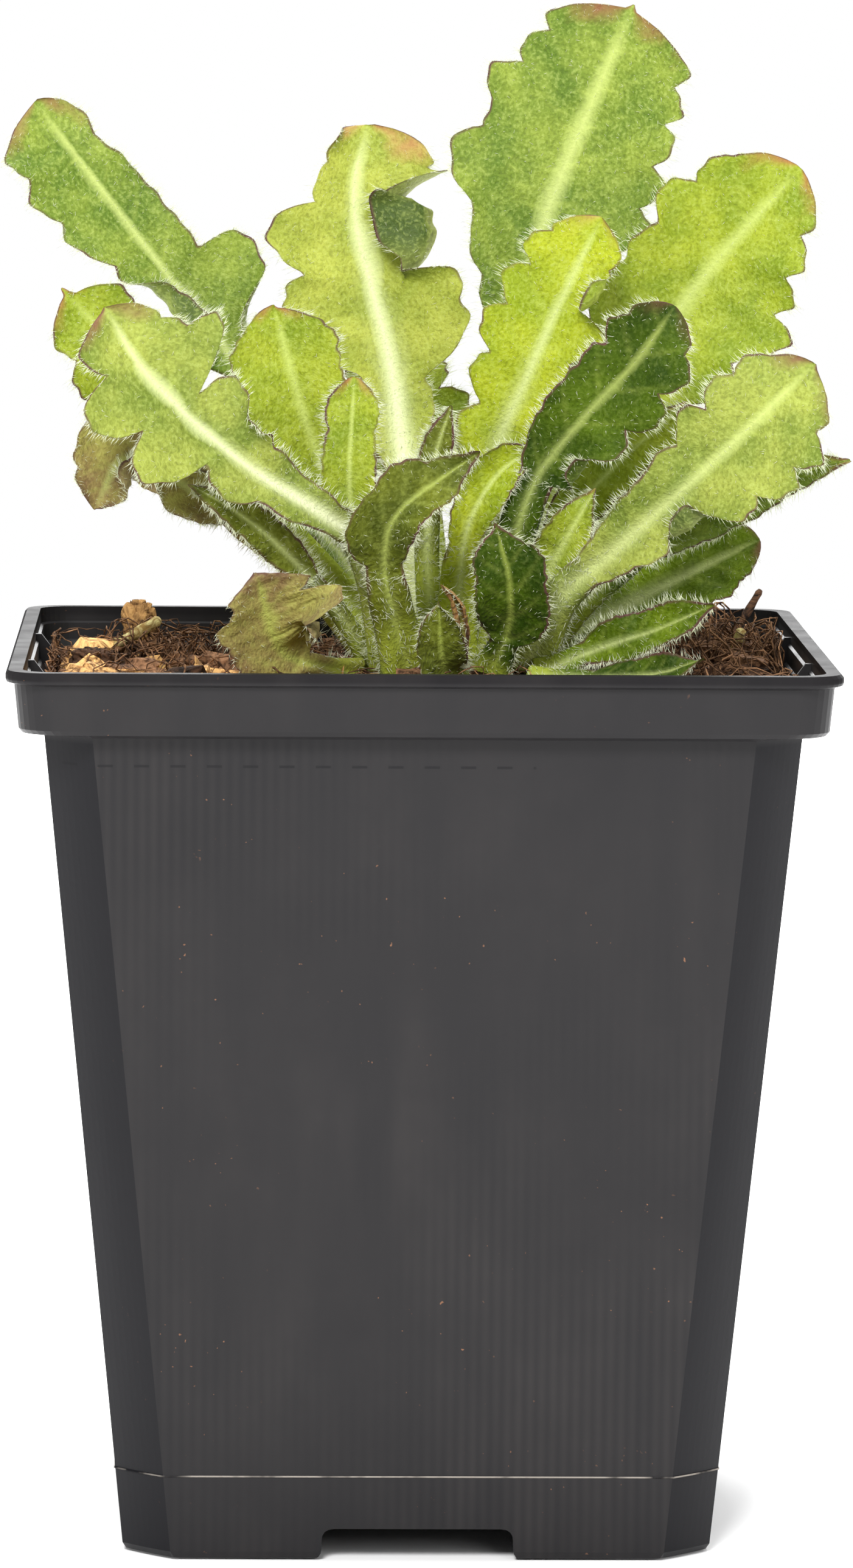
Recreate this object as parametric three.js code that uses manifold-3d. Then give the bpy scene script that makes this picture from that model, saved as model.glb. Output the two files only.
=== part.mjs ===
// Potted blanket flower: a square nursery pot of potting mix, a leafy Gaillardia and the litter on the mix.
// Millimetres, +Z up. The origin is on the floor, at the middle of the pot's base.

import * as THREE from 'three';
import { mergeVertices } from 'three/addons/utils/BufferGeometryUtils.js';
import Module from 'manifold-3d';

const wasm = await Module();
wasm.setup();

// Driving dimensions
const POT_HEIGHT = 98.5;
const RIM_HALF = 45;
const BASE_HALF = 32.25;
const WALL = 1;
const CHAMFER = 5.3;
const RIM_RADIUS = 4.5;
const BAND_HEIGHT = 6.6;
const NOTCH_WIDTH = 21;
const NOTCH_HEIGHT = 3.6;
const DRAIN_DIAMETER = 5;
const MIX_LEVEL = 93.5;
const GAP = 0.3;
const CROWN_CENTRE = [4, 0];
const CROWN_RADIUS = 10.5;
const CROWN_TOP = 96;
const STALK_HALF = 0.75;
const LEAF_THICKNESS = 0.8;
const LOBE_SWEEP = 0.24;
const TIP_HALF = 0.35;
const STALK_ROWS = 4;

// Derived dimensions
const BAND_BOTTOM = POT_HEIGHT - 0.2 - BAND_HEIGHT;
const SHOULDER_HALF = 41;
const BAND_HALF = RIM_HALF - 0.9;
const LIP_THICKNESS = 1.2;
const FLOOR_TOP = 1.2;
const RAISED_TOP = NOTCH_HEIGHT + FLOOR_TOP;
const CORNER_STEPS = 8;
const NOTCH_ROUND = 1.4;
const PARTING_HEIGHT = 9.5;
const PARTING_RIDGE = 0.15;
const UNDERGROUND = -5;

const group = new THREE.Group();

function finish(colour, roughness) {
  return new THREE.MeshStandardMaterial({ color: colour, roughness, metalness: 0 });
}

const potFinish = () => finish(0x3e3d3d, 0.5);
const mixFinish = () => finish(0x4a3524, 0.95);
const barkFinish = () => finish(0x8a6a48, 0.9);
const strawFinish = () => finish(0xc0a870, 0.8);

// Booleans
function toSolid(geometry) {
  const bare = geometry.clone();
  bare.deleteAttribute('normal');
  bare.deleteAttribute('uv');
  const merged = mergeVertices(bare, 1e-4);
  return new wasm.Manifold(new wasm.Mesh({
    numProp: 3,
    vertProperties: new Float32Array(merged.attributes.position.array),
    triVerts: new Uint32Array(merged.index.array),
  }));
}

function toGeometry(solid) {
  const mesh = solid.getMesh();
  const geometry = new THREE.BufferGeometry();
  geometry.setAttribute('position', new THREE.BufferAttribute(mesh.vertProperties, 3));
  geometry.setIndex(new THREE.BufferAttribute(mesh.triVerts, 1));
  return geometry;
}

function addMesh(name, geometry, material) {
  geometry.computeVertexNormals();
  const mesh = new THREE.Mesh(geometry, material);
  mesh.name = name;
  group.add(mesh);
  return mesh;
}

// A closed skin over rings of equal length, with a flat fan at each end.
function skin(rings) {
  const count = rings[0].length;
  const positions = rings.flat(2);
  const index = [];
  for (let r = 0; r < rings.length - 1; r += 1) {
    for (let k = 0; k < count; k += 1) {
      const a = r * count + k;
      const b = r * count + ((k + 1) % count);
      index.push(a, b, b + count, a, b + count, a + count);
    }
  }
  const last = (rings.length - 1) * count;
  for (let k = 1; k < count - 1; k += 1) {
    index.push(0, k + 1, k);
    index.push(last, last + k, last + k + 1);
  }
  const geometry = new THREE.BufferGeometry();
  geometry.setAttribute('position', new THREE.Float32BufferAttribute(positions, 3));
  geometry.setIndex(index);
  return geometry;
}

// A square with cut corners; bulge 0 is a flat chamfer, 1 a round corner.
function squareRing(half, corner, bulge, z) {
  const ring = [];
  for (let quarter = 0; quarter < 4; quarter += 1) {
    const turn = (quarter * Math.PI) / 2;
    for (let k = 0; k <= CORNER_STEPS; k += 1) {
      const t = k / CORNER_STEPS;
      const angle = (t * Math.PI) / 2;
      const flatX = half - corner * t;
      const flatY = half - corner * (1 - t);
      const roundX = half - corner + corner * Math.cos(angle);
      const roundY = half - corner + corner * Math.sin(angle);
      const x = flatX + (roundX - flatX) * bulge;
      const y = flatY + (roundY - flatY) * bulge;
      ring.push([x * Math.cos(turn) - y * Math.sin(turn), x * Math.sin(turn) + y * Math.cos(turn), z]);
    }
  }
  return ring;
}

// Pot
const CHAMFER_BULGE = 0.12;
const bodyHalfAt = (z) => BASE_HALF + ((SHOULDER_HALF - BASE_HALF) * z) / BAND_BOTTOM;

function potOuter() {
  const edge = 1;
  return skin([
    squareRing(BASE_HALF - edge, CHAMFER, CHAMFER_BULGE, 0),
    squareRing(BASE_HALF - 0.3 * edge, CHAMFER, CHAMFER_BULGE, 0.3 * edge),
    squareRing(bodyHalfAt(edge), CHAMFER, CHAMFER_BULGE, edge),
    squareRing(bodyHalfAt(PARTING_HEIGHT - 0.15), CHAMFER, CHAMFER_BULGE, PARTING_HEIGHT - 0.15),
    squareRing(bodyHalfAt(PARTING_HEIGHT) + PARTING_RIDGE, CHAMFER, CHAMFER_BULGE, PARTING_HEIGHT),
    squareRing(bodyHalfAt(PARTING_HEIGHT + 0.15), CHAMFER, CHAMFER_BULGE, PARTING_HEIGHT + 0.15),
    squareRing(bodyHalfAt(BAND_BOTTOM - 0.5), CHAMFER, CHAMFER_BULGE, BAND_BOTTOM - 0.5),
    squareRing(SHOULDER_HALF + 0.5, CHAMFER, 0.4, BAND_BOTTOM - 0.1),
    squareRing(BAND_HALF - 0.8, RIM_RADIUS, 0.9, BAND_BOTTOM),
    squareRing(BAND_HALF - 0.45, RIM_RADIUS, 1, BAND_BOTTOM + 0.5),
    squareRing(BAND_HALF, RIM_RADIUS, 1, POT_HEIGHT - LIP_THICKNESS - 0.3),
    squareRing(RIM_HALF - 0.1, RIM_RADIUS, 1, POT_HEIGHT - LIP_THICKNESS),
    squareRing(RIM_HALF, RIM_RADIUS, 1, POT_HEIGHT - 0.9),
    squareRing(RIM_HALF, RIM_RADIUS, 1, POT_HEIGHT - 0.35),
    squareRing(RIM_HALF - 0.3, RIM_RADIUS, 1, POT_HEIGHT),
  ]);
}

// Two crossed bars under the pot, with rounded upper edges; they flare a little at the floor.
function cross(width, top) {
  const reach = RIM_HALF * 2 + 10;
  const half = width / 2;
  const outline = new THREE.Shape();
  outline.moveTo(-half - NOTCH_ROUND, UNDERGROUND);
  outline.lineTo(half + NOTCH_ROUND, UNDERGROUND);
  outline.lineTo(half + NOTCH_ROUND, 0);
  outline.quadraticCurveTo(half, 0, half, NOTCH_ROUND);
  outline.lineTo(half, top - NOTCH_ROUND);
  outline.quadraticCurveTo(half, top, half - NOTCH_ROUND, top);
  outline.lineTo(-half + NOTCH_ROUND, top);
  outline.quadraticCurveTo(-half, top, -half, top - NOTCH_ROUND);
  outline.lineTo(-half, NOTCH_ROUND);
  outline.quadraticCurveTo(-half, 0, -half - NOTCH_ROUND, 0);
  const bar = new THREE.ExtrudeGeometry(outline, { depth: reach, bevelEnabled: false, curveSegments: 4 });
  bar.translate(0, 0, -reach / 2);
  bar.rotateX(Math.PI / 2);
  const alongY = toSolid(bar);
  bar.rotateZ(Math.PI / 2);
  return alongY.add(toSolid(bar));
}

// The space inside the walls, drawn in by clear on every side. It steps out over the shoulder.
function potInside(clear, bottom, top) {
  const shoulder = BAND_BOTTOM + 0.9;
  const steps = [
    [bodyHalfAt(bottom) - WALL, bottom, CHAMFER, CHAMFER_BULGE],
    [bodyHalfAt(shoulder - 0.6) - WALL, shoulder - 0.6 + clear, CHAMFER, CHAMFER_BULGE],
    [BAND_HALF - 1.5 - WALL, shoulder + clear, RIM_RADIUS - 1, 0.9],
    [BAND_HALF - 0.7 - WALL, POT_HEIGHT - 4.0, RIM_RADIUS - 1, 1],
    [BAND_HALF - 0.4 - WALL, POT_HEIGHT - 3.8, RIM_RADIUS - 1, 1],
    [BAND_HALF - 0.3 - WALL, POT_HEIGHT - 1.9, RIM_RADIUS - 1, 1],
    [BAND_HALF - WALL, POT_HEIGHT - 1.7, RIM_RADIUS - 1, 1],
    [BAND_HALF + 0.1 - WALL, POT_HEIGHT + 1, RIM_RADIUS - 1, 1],
  ];
  const kept = steps.filter(([, z]) => z < top - 0.05);
  const last = kept[kept.length - 1];
  const rings = kept.map(([half, z, corner, bulge]) => squareRing(half - clear, corner, bulge, z));
  rings.push(squareRing(last[0] - clear, last[2], last[3], top));
  return toSolid(skin(rings));
}

// Small triangular stops that keep a stack of empty pots apart, two on each wall.
function stackingFins() {
  const foot = POT_HEIGHT - 4.4;
  const inner = BAND_HALF - WALL;
  const outline = new THREE.Shape();
  outline.moveTo(inner + 0.4, foot);
  outline.lineTo(inner + 0.4, POT_HEIGHT - 1);
  outline.lineTo(inner - 0.6, POT_HEIGHT - 1);
  outline.lineTo(inner - 3.2, foot);
  const thickness = 0.8;
  let fins = null;
  for (let side = 0; side < 4; side += 1) {
    for (const place of [-17, 17]) {
      const fin = new THREE.ExtrudeGeometry(outline, { depth: thickness, bevelEnabled: false });
      fin.translate(0, 0, -thickness / 2);
      fin.rotateX(Math.PI / 2);
      fin.translate(0, place, 0);
      fin.rotateZ((side * Math.PI) / 2);
      const solid = toSolid(fin);
      fins = fins ? fins.add(solid) : solid;
    }
  }
  return fins;
}

function drainHoles() {
  const spots = [[0, 0], [19, 0], [-19, 0], [0, 19], [0, -19]];
  let holes = null;
  for (const [x, y] of spots) {
    const hole = new THREE.CylinderGeometry(DRAIN_DIAMETER / 2, DRAIN_DIAMETER / 2, 10, 16);
    hole.rotateX(Math.PI / 2);
    hole.translate(x, y, RAISED_TOP);
    const solid = toSolid(hole);
    holes = holes ? holes.add(solid) : solid;
  }
  return holes;
}

function addPot() {
  const channels = cross(NOTCH_WIDTH, NOTCH_HEIGHT);
  const raised = cross(NOTCH_WIDTH + 2 * WALL, RAISED_TOP);
  const cavity = potInside(0, FLOOR_TOP, POT_HEIGHT + 5).subtract(raised);
  const pot = toSolid(potOuter()).subtract(cavity).add(stackingFins()).subtract(channels).subtract(drainHoles());
  addMesh('pot', toGeometry(pot), potFinish());
}

// Crown and potting mix
function crownGeometry(clear) {
  const profile = [
    [0, 80 - clear],
    [4 + clear, 81 - clear],
    [CROWN_RADIUS - 1 + clear, 88 - clear],
    [CROWN_RADIUS + clear, 92],
    [CROWN_RADIUS - 0.6 + clear, CROWN_TOP - 1.8 + clear],
    [6 + clear, CROWN_TOP - 0.5 + clear],
    [0, CROWN_TOP + clear],
  ];
  const crown = new THREE.LatheGeometry(profile.map(([r, z]) => new THREE.Vector2(r, z)), 20);
  crown.rotateX(Math.PI / 2);
  crown.translate(CROWN_CENTRE[0], CROWN_CENTRE[1], 0);
  return crown;
}

function addCrown() {
  addMesh('crown', toGeometry(toSolid(crownGeometry(0))), finish(0x7a6a40, 0.8));
}

function addPottingMix() {
  const overFloor = cross(NOTCH_WIDTH + 2 * WALL + 2 * GAP, RAISED_TOP + GAP);
  const mix = potInside(GAP, FLOOR_TOP + GAP, MIX_LEVEL).subtract(overFloor).subtract(toSolid(crownGeometry(GAP)));
  addMesh('potting_mix', toGeometry(mix), mixFinish());
}

// Leaves
// A lobe [along, reach] swells the margin roundly about its place; the bare blade between lobes is an arch, and the
// last tip millimetres close with a quarter ellipse.
function halfWidth(leaf, lobes, along, length) {
  if (along < leaf.blade) return STALK_HALF;
  const t = (along - leaf.blade) / (1 - leaf.blade);
  const arch = Math.sin(Math.PI * t ** 0.8) ** 0.6;
  let width = leaf.wide * arch;
  for (const [place, reach] of lobes) {
    const x = (along - place) / leaf.lobe;
    if (Math.abs(x) < 1) width = Math.max(width, reach * (1 - x * x) ** 0.38);
  }
  const left = Math.min(1, ((1 - along) * length) / leaf.tip);
  return Math.max(Math.max(width, STALK_HALF * 0.9) * Math.sqrt(left * (2 - left)), TIP_HALF);
}

function leafGeometry(leaf) {
  const points = leaf.route.map((place) => new THREE.Vector3(...place));
  const route = new THREE.CatmullRomCurve3(points, false, 'catmullrom', 0.5);
  const length = route.getLength();
  const facing = new THREE.Vector3(...leaf.facing).normalize();
  const rings = [];
  for (let i = 0; i <= STALK_ROWS + leaf.rows; i += 1) {
    const along = i < STALK_ROWS
      ? (leaf.blade * i) / STALK_ROWS
      : leaf.blade + ((1 - leaf.blade) * (i - STALK_ROWS)) / leaf.rows;
    const centre = route.getPointAt(along);
    const ahead = route.getTangentAt(along);
    const right = new THREE.Vector3().crossVectors(ahead, facing).normalize();
    const up = new THREE.Vector3().crossVectors(right, ahead).normalize();
    const fade = 1 - Math.max(0, (along - 0.8) / 0.2);
    const margin = (sign, lobes) => {
      const width = halfWidth(leaf, lobes, along, length);
      return centre.clone()
        .addScaledVector(right, sign * width * Math.cos(leaf.fold))
        .addScaledVector(up, width * Math.sin(leaf.fold))
        .addScaledVector(ahead, along < leaf.blade ? 0 : LOBE_SWEEP * fade * width);
    };
    const row = [margin(-1, leaf.left), centre, margin(1, leaf.right)];
    const top = row.map((p) => p.clone().addScaledVector(up, LEAF_THICKNESS / 2));
    const bottom = row.map((p) => p.clone().addScaledVector(up, -LEAF_THICKNESS / 2));
    rings.push([...top, ...bottom.reverse()].map((p) => p.toArray()));
  }
  return skin(rings);
}

const GREEN = 0x86983a;
const YELLOW_GREEN = 0xa0ac34;
const GREY_GREEN = 0x9aa44a;
const DARK_GREEN = 0x4e6420;
const SAGE = 0x6a7230;
const PURPLE = 0x8a7450;
const STRAW = 0xb08450;

const plainLeaf = {
  facing: [0, -1, 0.25], blade: 0.4, wide: 3, lobe: 0.075, tip: 5, fold: 0.2, rows: 12, left: [], right: [],
  colour: GREEN,
};

// Each route runs from the crown to the tip. Lobes are [place along the leaf, reach from the midrib].
const leaves = {
  leaf_far_left: {
    route: [[-1, 4, 96.8], [-5, 7, 107], [-12.5, 11, 119], [-21.5, 14, 130], [-30.5, 17, 141.3], [-43.5, 20, 158]],
    blade: 0.5, wide: 5, lobe: 0.07, rows: 26,
    left: [[0.57, 5], [0.68, 5.4], [0.77, 7.8], [0.85, 8.6], [0.93, 8]],
    right: [[0.515, 6], [0.595, 10.4], [0.7, 4.8], [0.8, 4.2], [0.87, 3.6], [0.94, 3.8]],
  },
  leaf_tall_pale: {
    route: [[1, 7, 96.8], [0.5, 12, 108], [-1.5, 17, 119], [-3, 20, 129.5], [-7, 24, 146], [-5.5, 27, 155.5]],
    blade: 0.36, wide: 4.6, tip: 4, rows: 28, colour: YELLOW_GREEN,
    left: [[0.43, 4.8], [0.585, 11.6], [0.645, 11.2], [0.765, 11], [0.85, 4.8], [0.95, 4.4]],
    right: [[0.44, 4.6], [0.57, 10.2], [0.61, 10.4], [0.745, 9], [0.865, 11.4], [0.95, 9]],
  },
  leaf_tall_right: {
    route: [[6, 6, 96.8], [7.5, 9, 114.5], [10.5, 12, 129.5], [14.5, 14, 145], [19, 15, 156.5], [24.4, 14, 169.5]],
    blade: 0.5, wide: 9.5, lobe: 0.06, tip: 6, rows: 28,
    left: [[0.53, 5.4], [0.585, 8], [0.672, 13.2], [0.74, 11], [0.79, 12.4], [0.865, 10], [0.93, 8.6]],
    right: [[0.56, 10.5], [0.64, 12.8], [0.715, 12.6], [0.79, 11.6], [0.86, 10.8], [0.93, 9.8]],
  },
  leaf_right_broad: {
    route: [[9.5, 2.5, 96.2], [14, 4, 111], [21, 6, 124], [27, 7, 132], [33, 8, 140], [43, 7, 151.4]],
    blade: 0.42, wide: 9, lobe: 0.07, tip: 6, rows: 26, colour: YELLOW_GREEN,
    left: [[0.5, 7.4], [0.59, 10], [0.69, 9.4], [0.79, 10.6], [0.88, 8.8], [0.95, 6.8]],
    right: [[0.5, 6.5], [0.58, 10.6], [0.68, 13.4], [0.765, 10.6], [0.85, 8.6], [0.94, 6.4]],
  },
  leaf_centre_yellow: {
    route: [[6, 1, 96.8], [7, 0.5, 108], [8.5, 0, 119], [12.5, -1, 129], [16, -1, 137], [20.3, -2, 146]],
    blade: 0.4, wide: 4.6, lobe: 0.065, tip: 6, rows: 26, colour: YELLOW_GREEN,
    left: [[0.46, 5.4], [0.57, 6.4], [0.67, 7.6], [0.77, 7.4], [0.87, 6.6], [0.95, 5]],
    right: [[0.48, 5], [0.6, 7], [0.72, 7.4], [0.84, 6], [0.94, 5]],
  },
  leaf_dark_right: {
    route: [[9.5, -3, 96.5], [10.2, -6, 107.5], [12.8, -8, 116.8], [18, -10, 124], [23.8, -11, 130.5],
      [28, -11, 136.6]],
    blade: 0.44, wide: 4.8, lobe: 0.07, tip: 6, rows: 22, colour: DARK_GREEN,
    left: [[0.64, 4.8], [0.75, 5.2], [0.86, 5.4], [0.95, 4.6]],
    right: [[0.53, 6.5], [0.63, 6.4], [0.74, 7.4], [0.85, 6.6], [0.94, 5]],
  },
  leaf_right_grey: {
    route: [[12.5, -6, 95.6], [15.5, -12, 104], [21.2, -17, 109.8], [29.7, -21, 118], [37, -24, 125.4],
      [42.6, -25, 131]],
    blade: 0.28, wide: 4.2, lobe: 0.065, tip: 7, rows: 26, colour: GREY_GREEN,
    left: [[0.5, 3.8], [0.6, 5], [0.7, 6.8], [0.8, 6.8], [0.89, 6.4], [0.95, 5]],
    right: [[0.46, 4.6], [0.56, 6], [0.66, 8], [0.75, 9.4], [0.84, 9.2], [0.93, 7]],
  },
  leaf_far_right: {
    route: [[13, -2, 95.6], [18.5, -7, 103.4], [26.5, -11, 110.4], [33.5, -14, 114.8], [40.5, -17, 118.2],
      [46.9, -20, 120.2]],
    blade: 0.42, wide: 3.8, fold: 0.6, tip: 6, rows: 12,
  },
  leaf_right_narrow: {
    route: [[11.5, 1, 95.8], [15, 0.5, 108.5], [20, -0.5, 116], [30, -1.5, 125.5]],
    blade: 0.35, wide: 2.4, rows: 12, colour: YELLOW_GREEN,
    left: [[0.8, 2.8]],
    right: [[0.66, 2.8], [0.88, 3]],
  },
  leaf_right_pale: {
    route: [[10.5, -6, 96.1], [12.8, -8.5, 104], [15.8, -11, 110], [19.4, -12.4, 116.4]],
    blade: 0.35, wide: 2.4, rows: 8, colour: YELLOW_GREEN,
  },
  leaf_right_round: {
    route: [[14, 0.5, 94.9], [18.5, -2, 99.8], [27.5, -5, 105], [38, -7, 110.4]],
    blade: 0.28, wide: 4.8, lobe: 0.14, tip: 6, rows: 14, colour: DARK_GREEN,
    left: [[0.6, 5], [0.8, 5.4], [0.92, 4.8]],
    right: [[0.6, 5], [0.76, 6], [0.9, 5.2]],
  },
  leaf_right_low: {
    route: [[13.5, -9, 95.2], [20, -13, 98.7], [26, -16, 101], [32.3, -18, 104]],
    blade: 0.25, wide: 2.6, tip: 4, rows: 8, colour: DARK_GREEN,
  },
  leaf_right_soil: {
    route: [[12, -12.5, 94.9], [19, -17, 95.6], [26, -21, 96.6], [31, -23, 98.4]],
    blade: 0.3, wide: 1.8, facing: [0, -0.7, 0.7], tip: 4, rows: 6, colour: DARK_GREEN,
  },
  leaf_left_round: {
    route: [[-0.5, -1, 96.6], [-6, -1, 108], [-11, -2, 118.5], [-14, -2, 127.5], [-16.3, -1, 136]],
    blade: 0.42, wide: 6, lobe: 0.15, tip: 7, rows: 16, colour: YELLOW_GREEN,
    left: [[0.6, 6], [0.72, 7.4], [0.83, 7], [0.92, 5.6]],
    right: [[0.7, 6], [0.84, 6.2]],
  },
  leaf_left_behind: {
    route: [[-2.5, -3, 96.3], [-9.5, -4, 105.5], [-17.5, -5, 114], [-25, -6, 121.5], [-32, -7, 129.5],
      [-39.8, -8, 138]],
    blade: 0.45, wide: 3.6, tip: 6, rows: 16, colour: YELLOW_GREEN,
    left: [[0.65, 4.6], [0.8, 7.4], [0.91, 5.6]],
    right: [[0.72, 4.6], [0.9, 5.4]],
  },
  leaf_left_lobed: {
    route: [[-2.6, -6.5, 96.3], [-6.2, -12, 109.4], [-10.2, -15, 113.2], [-20, -19, 119.7], [-29.8, -22, 128.8],
      [-34.8, -23, 136.6]],
    blade: 0.3, wide: 3.2, lobe: 0.065, tip: 4, rows: 28, colour: GREY_GREEN,
    left: [[0.45, 3.2], [0.57, 5], [0.7, 9.8], [0.82, 9.6], [0.93, 5.6]],
    right: [[0.52, 3.6], [0.6, 5], [0.67, 6], [0.8, 10.5], [0.87, 7], [0.94, 5]],
  },
  leaf_left_curled: {
    route: [[-4.5, 0.5, 96], [-12, -1, 104.8], [-19, -7, 111], [-25, -11, 115.6], [-32.4, -14, 119.4],
      [-36, -16, 114]],
    blade: 0.55, wide: 4.6, rows: 14, colour: PURPLE,
    left: [[0.68, 4.6], [0.8, 6], [0.92, 5]],
    right: [[0.72, 4.6], [0.86, 5.6]],
  },
  leaf_left_under: {
    route: [[-4.8, -4, 95.9], [-9.5, -9, 103], [-14.5, -13, 108.8], [-19.5, -16, 113.2], [-25.5, -18, 117]],
    blade: 0.4, wide: 2.2, tip: 4, rows: 8, colour: SAGE,
  },
  leaf_small_oval: {
    route: [[0.5, -5, 96.6], [-4.5, -8.5, 107], [-7.7, -10.5, 114.5], [-7.4, -10, 128.5]],
    blade: 0.42, wide: 3.3, lobe: 0.14, tip: 4.5, rows: 12, colour: YELLOW_GREEN,
    left: [[0.72, 3.3], [0.88, 3.2]],
    right: [[0.7, 3.3], [0.88, 3.2]],
  },
  leaf_inner_bright: {
    route: [[4, -2.5, 96.8], [4.6, -4.5, 105], [5.6, -5.8, 112], [8.4, -6.5, 118], [12, -6.5, 120.6]],
    blade: 0.42, wide: 2.6, tip: 4, rows: 10, colour: YELLOW_GREEN,
  },
  leaf_inner_tip: {
    route: [[2, -0.5, 96.8], [1, -2, 108], [1.6, -3, 118], [3.6, -3, 125]],
    blade: 0.6, wide: 1.6, tip: 4, rows: 6, colour: SAGE,
  },
  leaf_front_folded: {
    route: [[-1, -10, 95.6], [-3, -13.5, 102.5], [-4, -16.5, 109], [-2.2, -18.5, 114.4], [6.4, -18.5, 120.8]],
    blade: 0.36, wide: 3, lobe: 0.12, tip: 7, rows: 14, colour: SAGE,
    left: [[0.55, 4.6], [0.7, 4]],
    right: [[0.6, 3.2], [0.78, 3]],
  },
  leaf_front_curled: {
    route: [[3.5, -11.5, 95], [2.4, -15, 98], [2, -16.5, 104]],
    blade: 0.15, wide: 3, tip: 4, rows: 8, colour: SAGE,
  },
  leaf_front_oval: {
    route: [[8, -9.5, 95.8], [9.7, -13, 100.5], [9.8, -15.5, 106], [8.2, -16, 112.8]],
    blade: 0.22, wide: 4, lobe: 0.2, tip: 6, rows: 12, colour: DARK_GREEN,
    left: [[0.55, 4], [0.75, 3.8]],
    right: [[0.45, 4.2], [0.66, 4.2]],
  },
  leaf_withered: {
    route: [[4.2, -10.6, 95.6], [4.8, -13.6, 99.5], [4, -15.4, 103.6], [2.2, -16.8, 106]],
    blade: 0.3, wide: 1.2, tip: 2, rows: 6, colour: STRAW,
  },
  leaf_old_mottled: {
    route: [[-6.5, -6, 95.2], [-11, -12, 96.6], [-15.5, -17, 98.8], [-18.2, -21, 107.4]],
    blade: 0.42, wide: 6, facing: [0.2, -1, 0.1], lobe: 0.1, rows: 14, colour: PURPLE,
    left: [[0.76, 6.8], [0.92, 5.6]],
    right: [[0.64, 7], [0.78, 8.6], [0.92, 6]],
  },
  leaf_back_left: {
    route: [[-3, 6, 96], [-8, 15, 106], [-16, 25, 113], [-26, 37, 117]],
    blade: 0.4, wide: 4.4, facing: [-0.1, -0.5, 1], lobe: 0.09, rows: 18,
    left: [[0.56, 6.6], [0.7, 7.6], [0.84, 7]],
    right: [[0.62, 7], [0.77, 7.6], [0.9, 6]],
  },
  leaf_back_middle: {
    route: [[2.5, 9, 96], [2, 19, 109], [0, 29, 120], [-4, 39, 129]],
    blade: 0.4, wide: 4.4, facing: [0, -0.8, 1], lobe: 0.09, rows: 18, colour: YELLOW_GREEN,
    left: [[0.58, 6.8], [0.74, 7.4], [0.89, 6]],
    right: [[0.54, 6.2], [0.68, 7.4], [0.83, 6.8]],
  },
  leaf_back_right: {
    route: [[9, 8, 95.6], [15, 17, 106], [23, 26, 114], [32, 38, 120]],
    blade: 0.4, wide: 4.4, facing: [0.15, -0.5, 1], lobe: 0.09, rows: 18, colour: GREY_GREEN,
    left: [[0.56, 6.4], [0.7, 7.6], [0.85, 6.6]],
    right: [[0.62, 7], [0.77, 7.2], [0.9, 5.6]],
  },
  leaf_back_low: {
    route: [[6.5, 10, 95.3], [8.5, 20, 101], [11, 29, 105.5], [13, 39, 107]],
    blade: 0.35, wide: 4.4, facing: [0, -0.3, 1], tip: 6, rows: 12, colour: DARK_GREEN,
  },
};

function addLeaf(name, own) {
  const leaf = { ...plainLeaf, ...own };
  addMesh(name, toGeometry(toSolid(leafGeometry(leaf))), finish(leaf.colour, 0.6));
}

// Litter on the mix
function addChip(name, outline, thickness, place, turn, material) {
  const shape = new THREE.Shape(outline.map(([x, y]) => new THREE.Vector2(x, y)));
  const chip = new THREE.ExtrudeGeometry(shape, { depth: thickness, bevelEnabled: false });
  const mesh = addMesh(name, toGeometry(toSolid(chip)), material);
  mesh.position.set(...place);
  mesh.rotation.set(...turn);
}

function addStick(name, points, radius, material) {
  const path = new THREE.CatmullRomCurve3(points.map((place) => new THREE.Vector3(...place)));
  const section = new THREE.Shape();
  section.absarc(0, 0, radius, 0, 2 * Math.PI);
  const stick = new THREE.ExtrudeGeometry(section, {
    steps: 6, curveSegments: 6, bevelEnabled: false, extrudePath: path,
  });
  addMesh(name, toGeometry(toSolid(stick)), material);
}

const shard = [[-3, -1.6], [2.4, -2], [3.6, 0.4], [1.2, 1.9], [-2.2, 1.5]];
const block = [[-2.6, -2], [2.4, -1.8], [2.8, 1.6], [-2.2, 2.1]];
const LITTER_BASE = MIX_LEVEL + GAP;

function addLitter() {
  addChip('bark_chip_tall', shard, 2, [-31.5, 22, LITTER_BASE + 3.9], [Math.PI / 2, 0, 0.2 + Math.PI / 2],
    barkFinish());
  addChip('bark_chip_dark', block, 3, [-36.5, 8, LITTER_BASE], [0, 0, 0.3], finish(0x3c2c20, 0.95));
  addChip('bark_chip_front', shard, 1.8, [-27, -22, LITTER_BASE], [0, 0, -0.6], barkFinish());
  addChip('bark_chip_back', block, 2.2, [18, 6, LITTER_BASE], [0, 0, 0.9], barkFinish());
  addChip('bark_chip_right', shard, 2, [37, 4, LITTER_BASE], [0, 0, 1.4], finish(0x5a4330, 0.95));
  addChip('dried_leaf', [[-4, -1.5], [0, -2.6], [4, -1], [3.4, 1.6], [-1, 2.4], [-3.8, 1]], 1,
    [-28, 8, LITTER_BASE], [0, 0, 0.4], finish(0x8a6238, 0.85));
  addStick('dead_stem', [[-38, 18, 94.9], [-33, 15, 97], [-29, 13, 99.5]], 0.7, strawFinish());
  addStick('straw_stick', [[36, 12, 94.8], [36.6, 10, 97], [37, 8.5, 99]], 0.7, strawFinish());
  addStick('twig', [[33, 18, 94.8], [37, 20, 98], [40, 22, 102.5]], 0.6, finish(0x6a4c30, 0.9));
}

addPot();
addPottingMix();
addCrown();
for (const [name, own] of Object.entries(leaves)) addLeaf(name, own);
addLitter();

export default group;
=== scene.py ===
import math

import bpy
import numpy as np
from mathutils import Matrix, Vector


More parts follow.
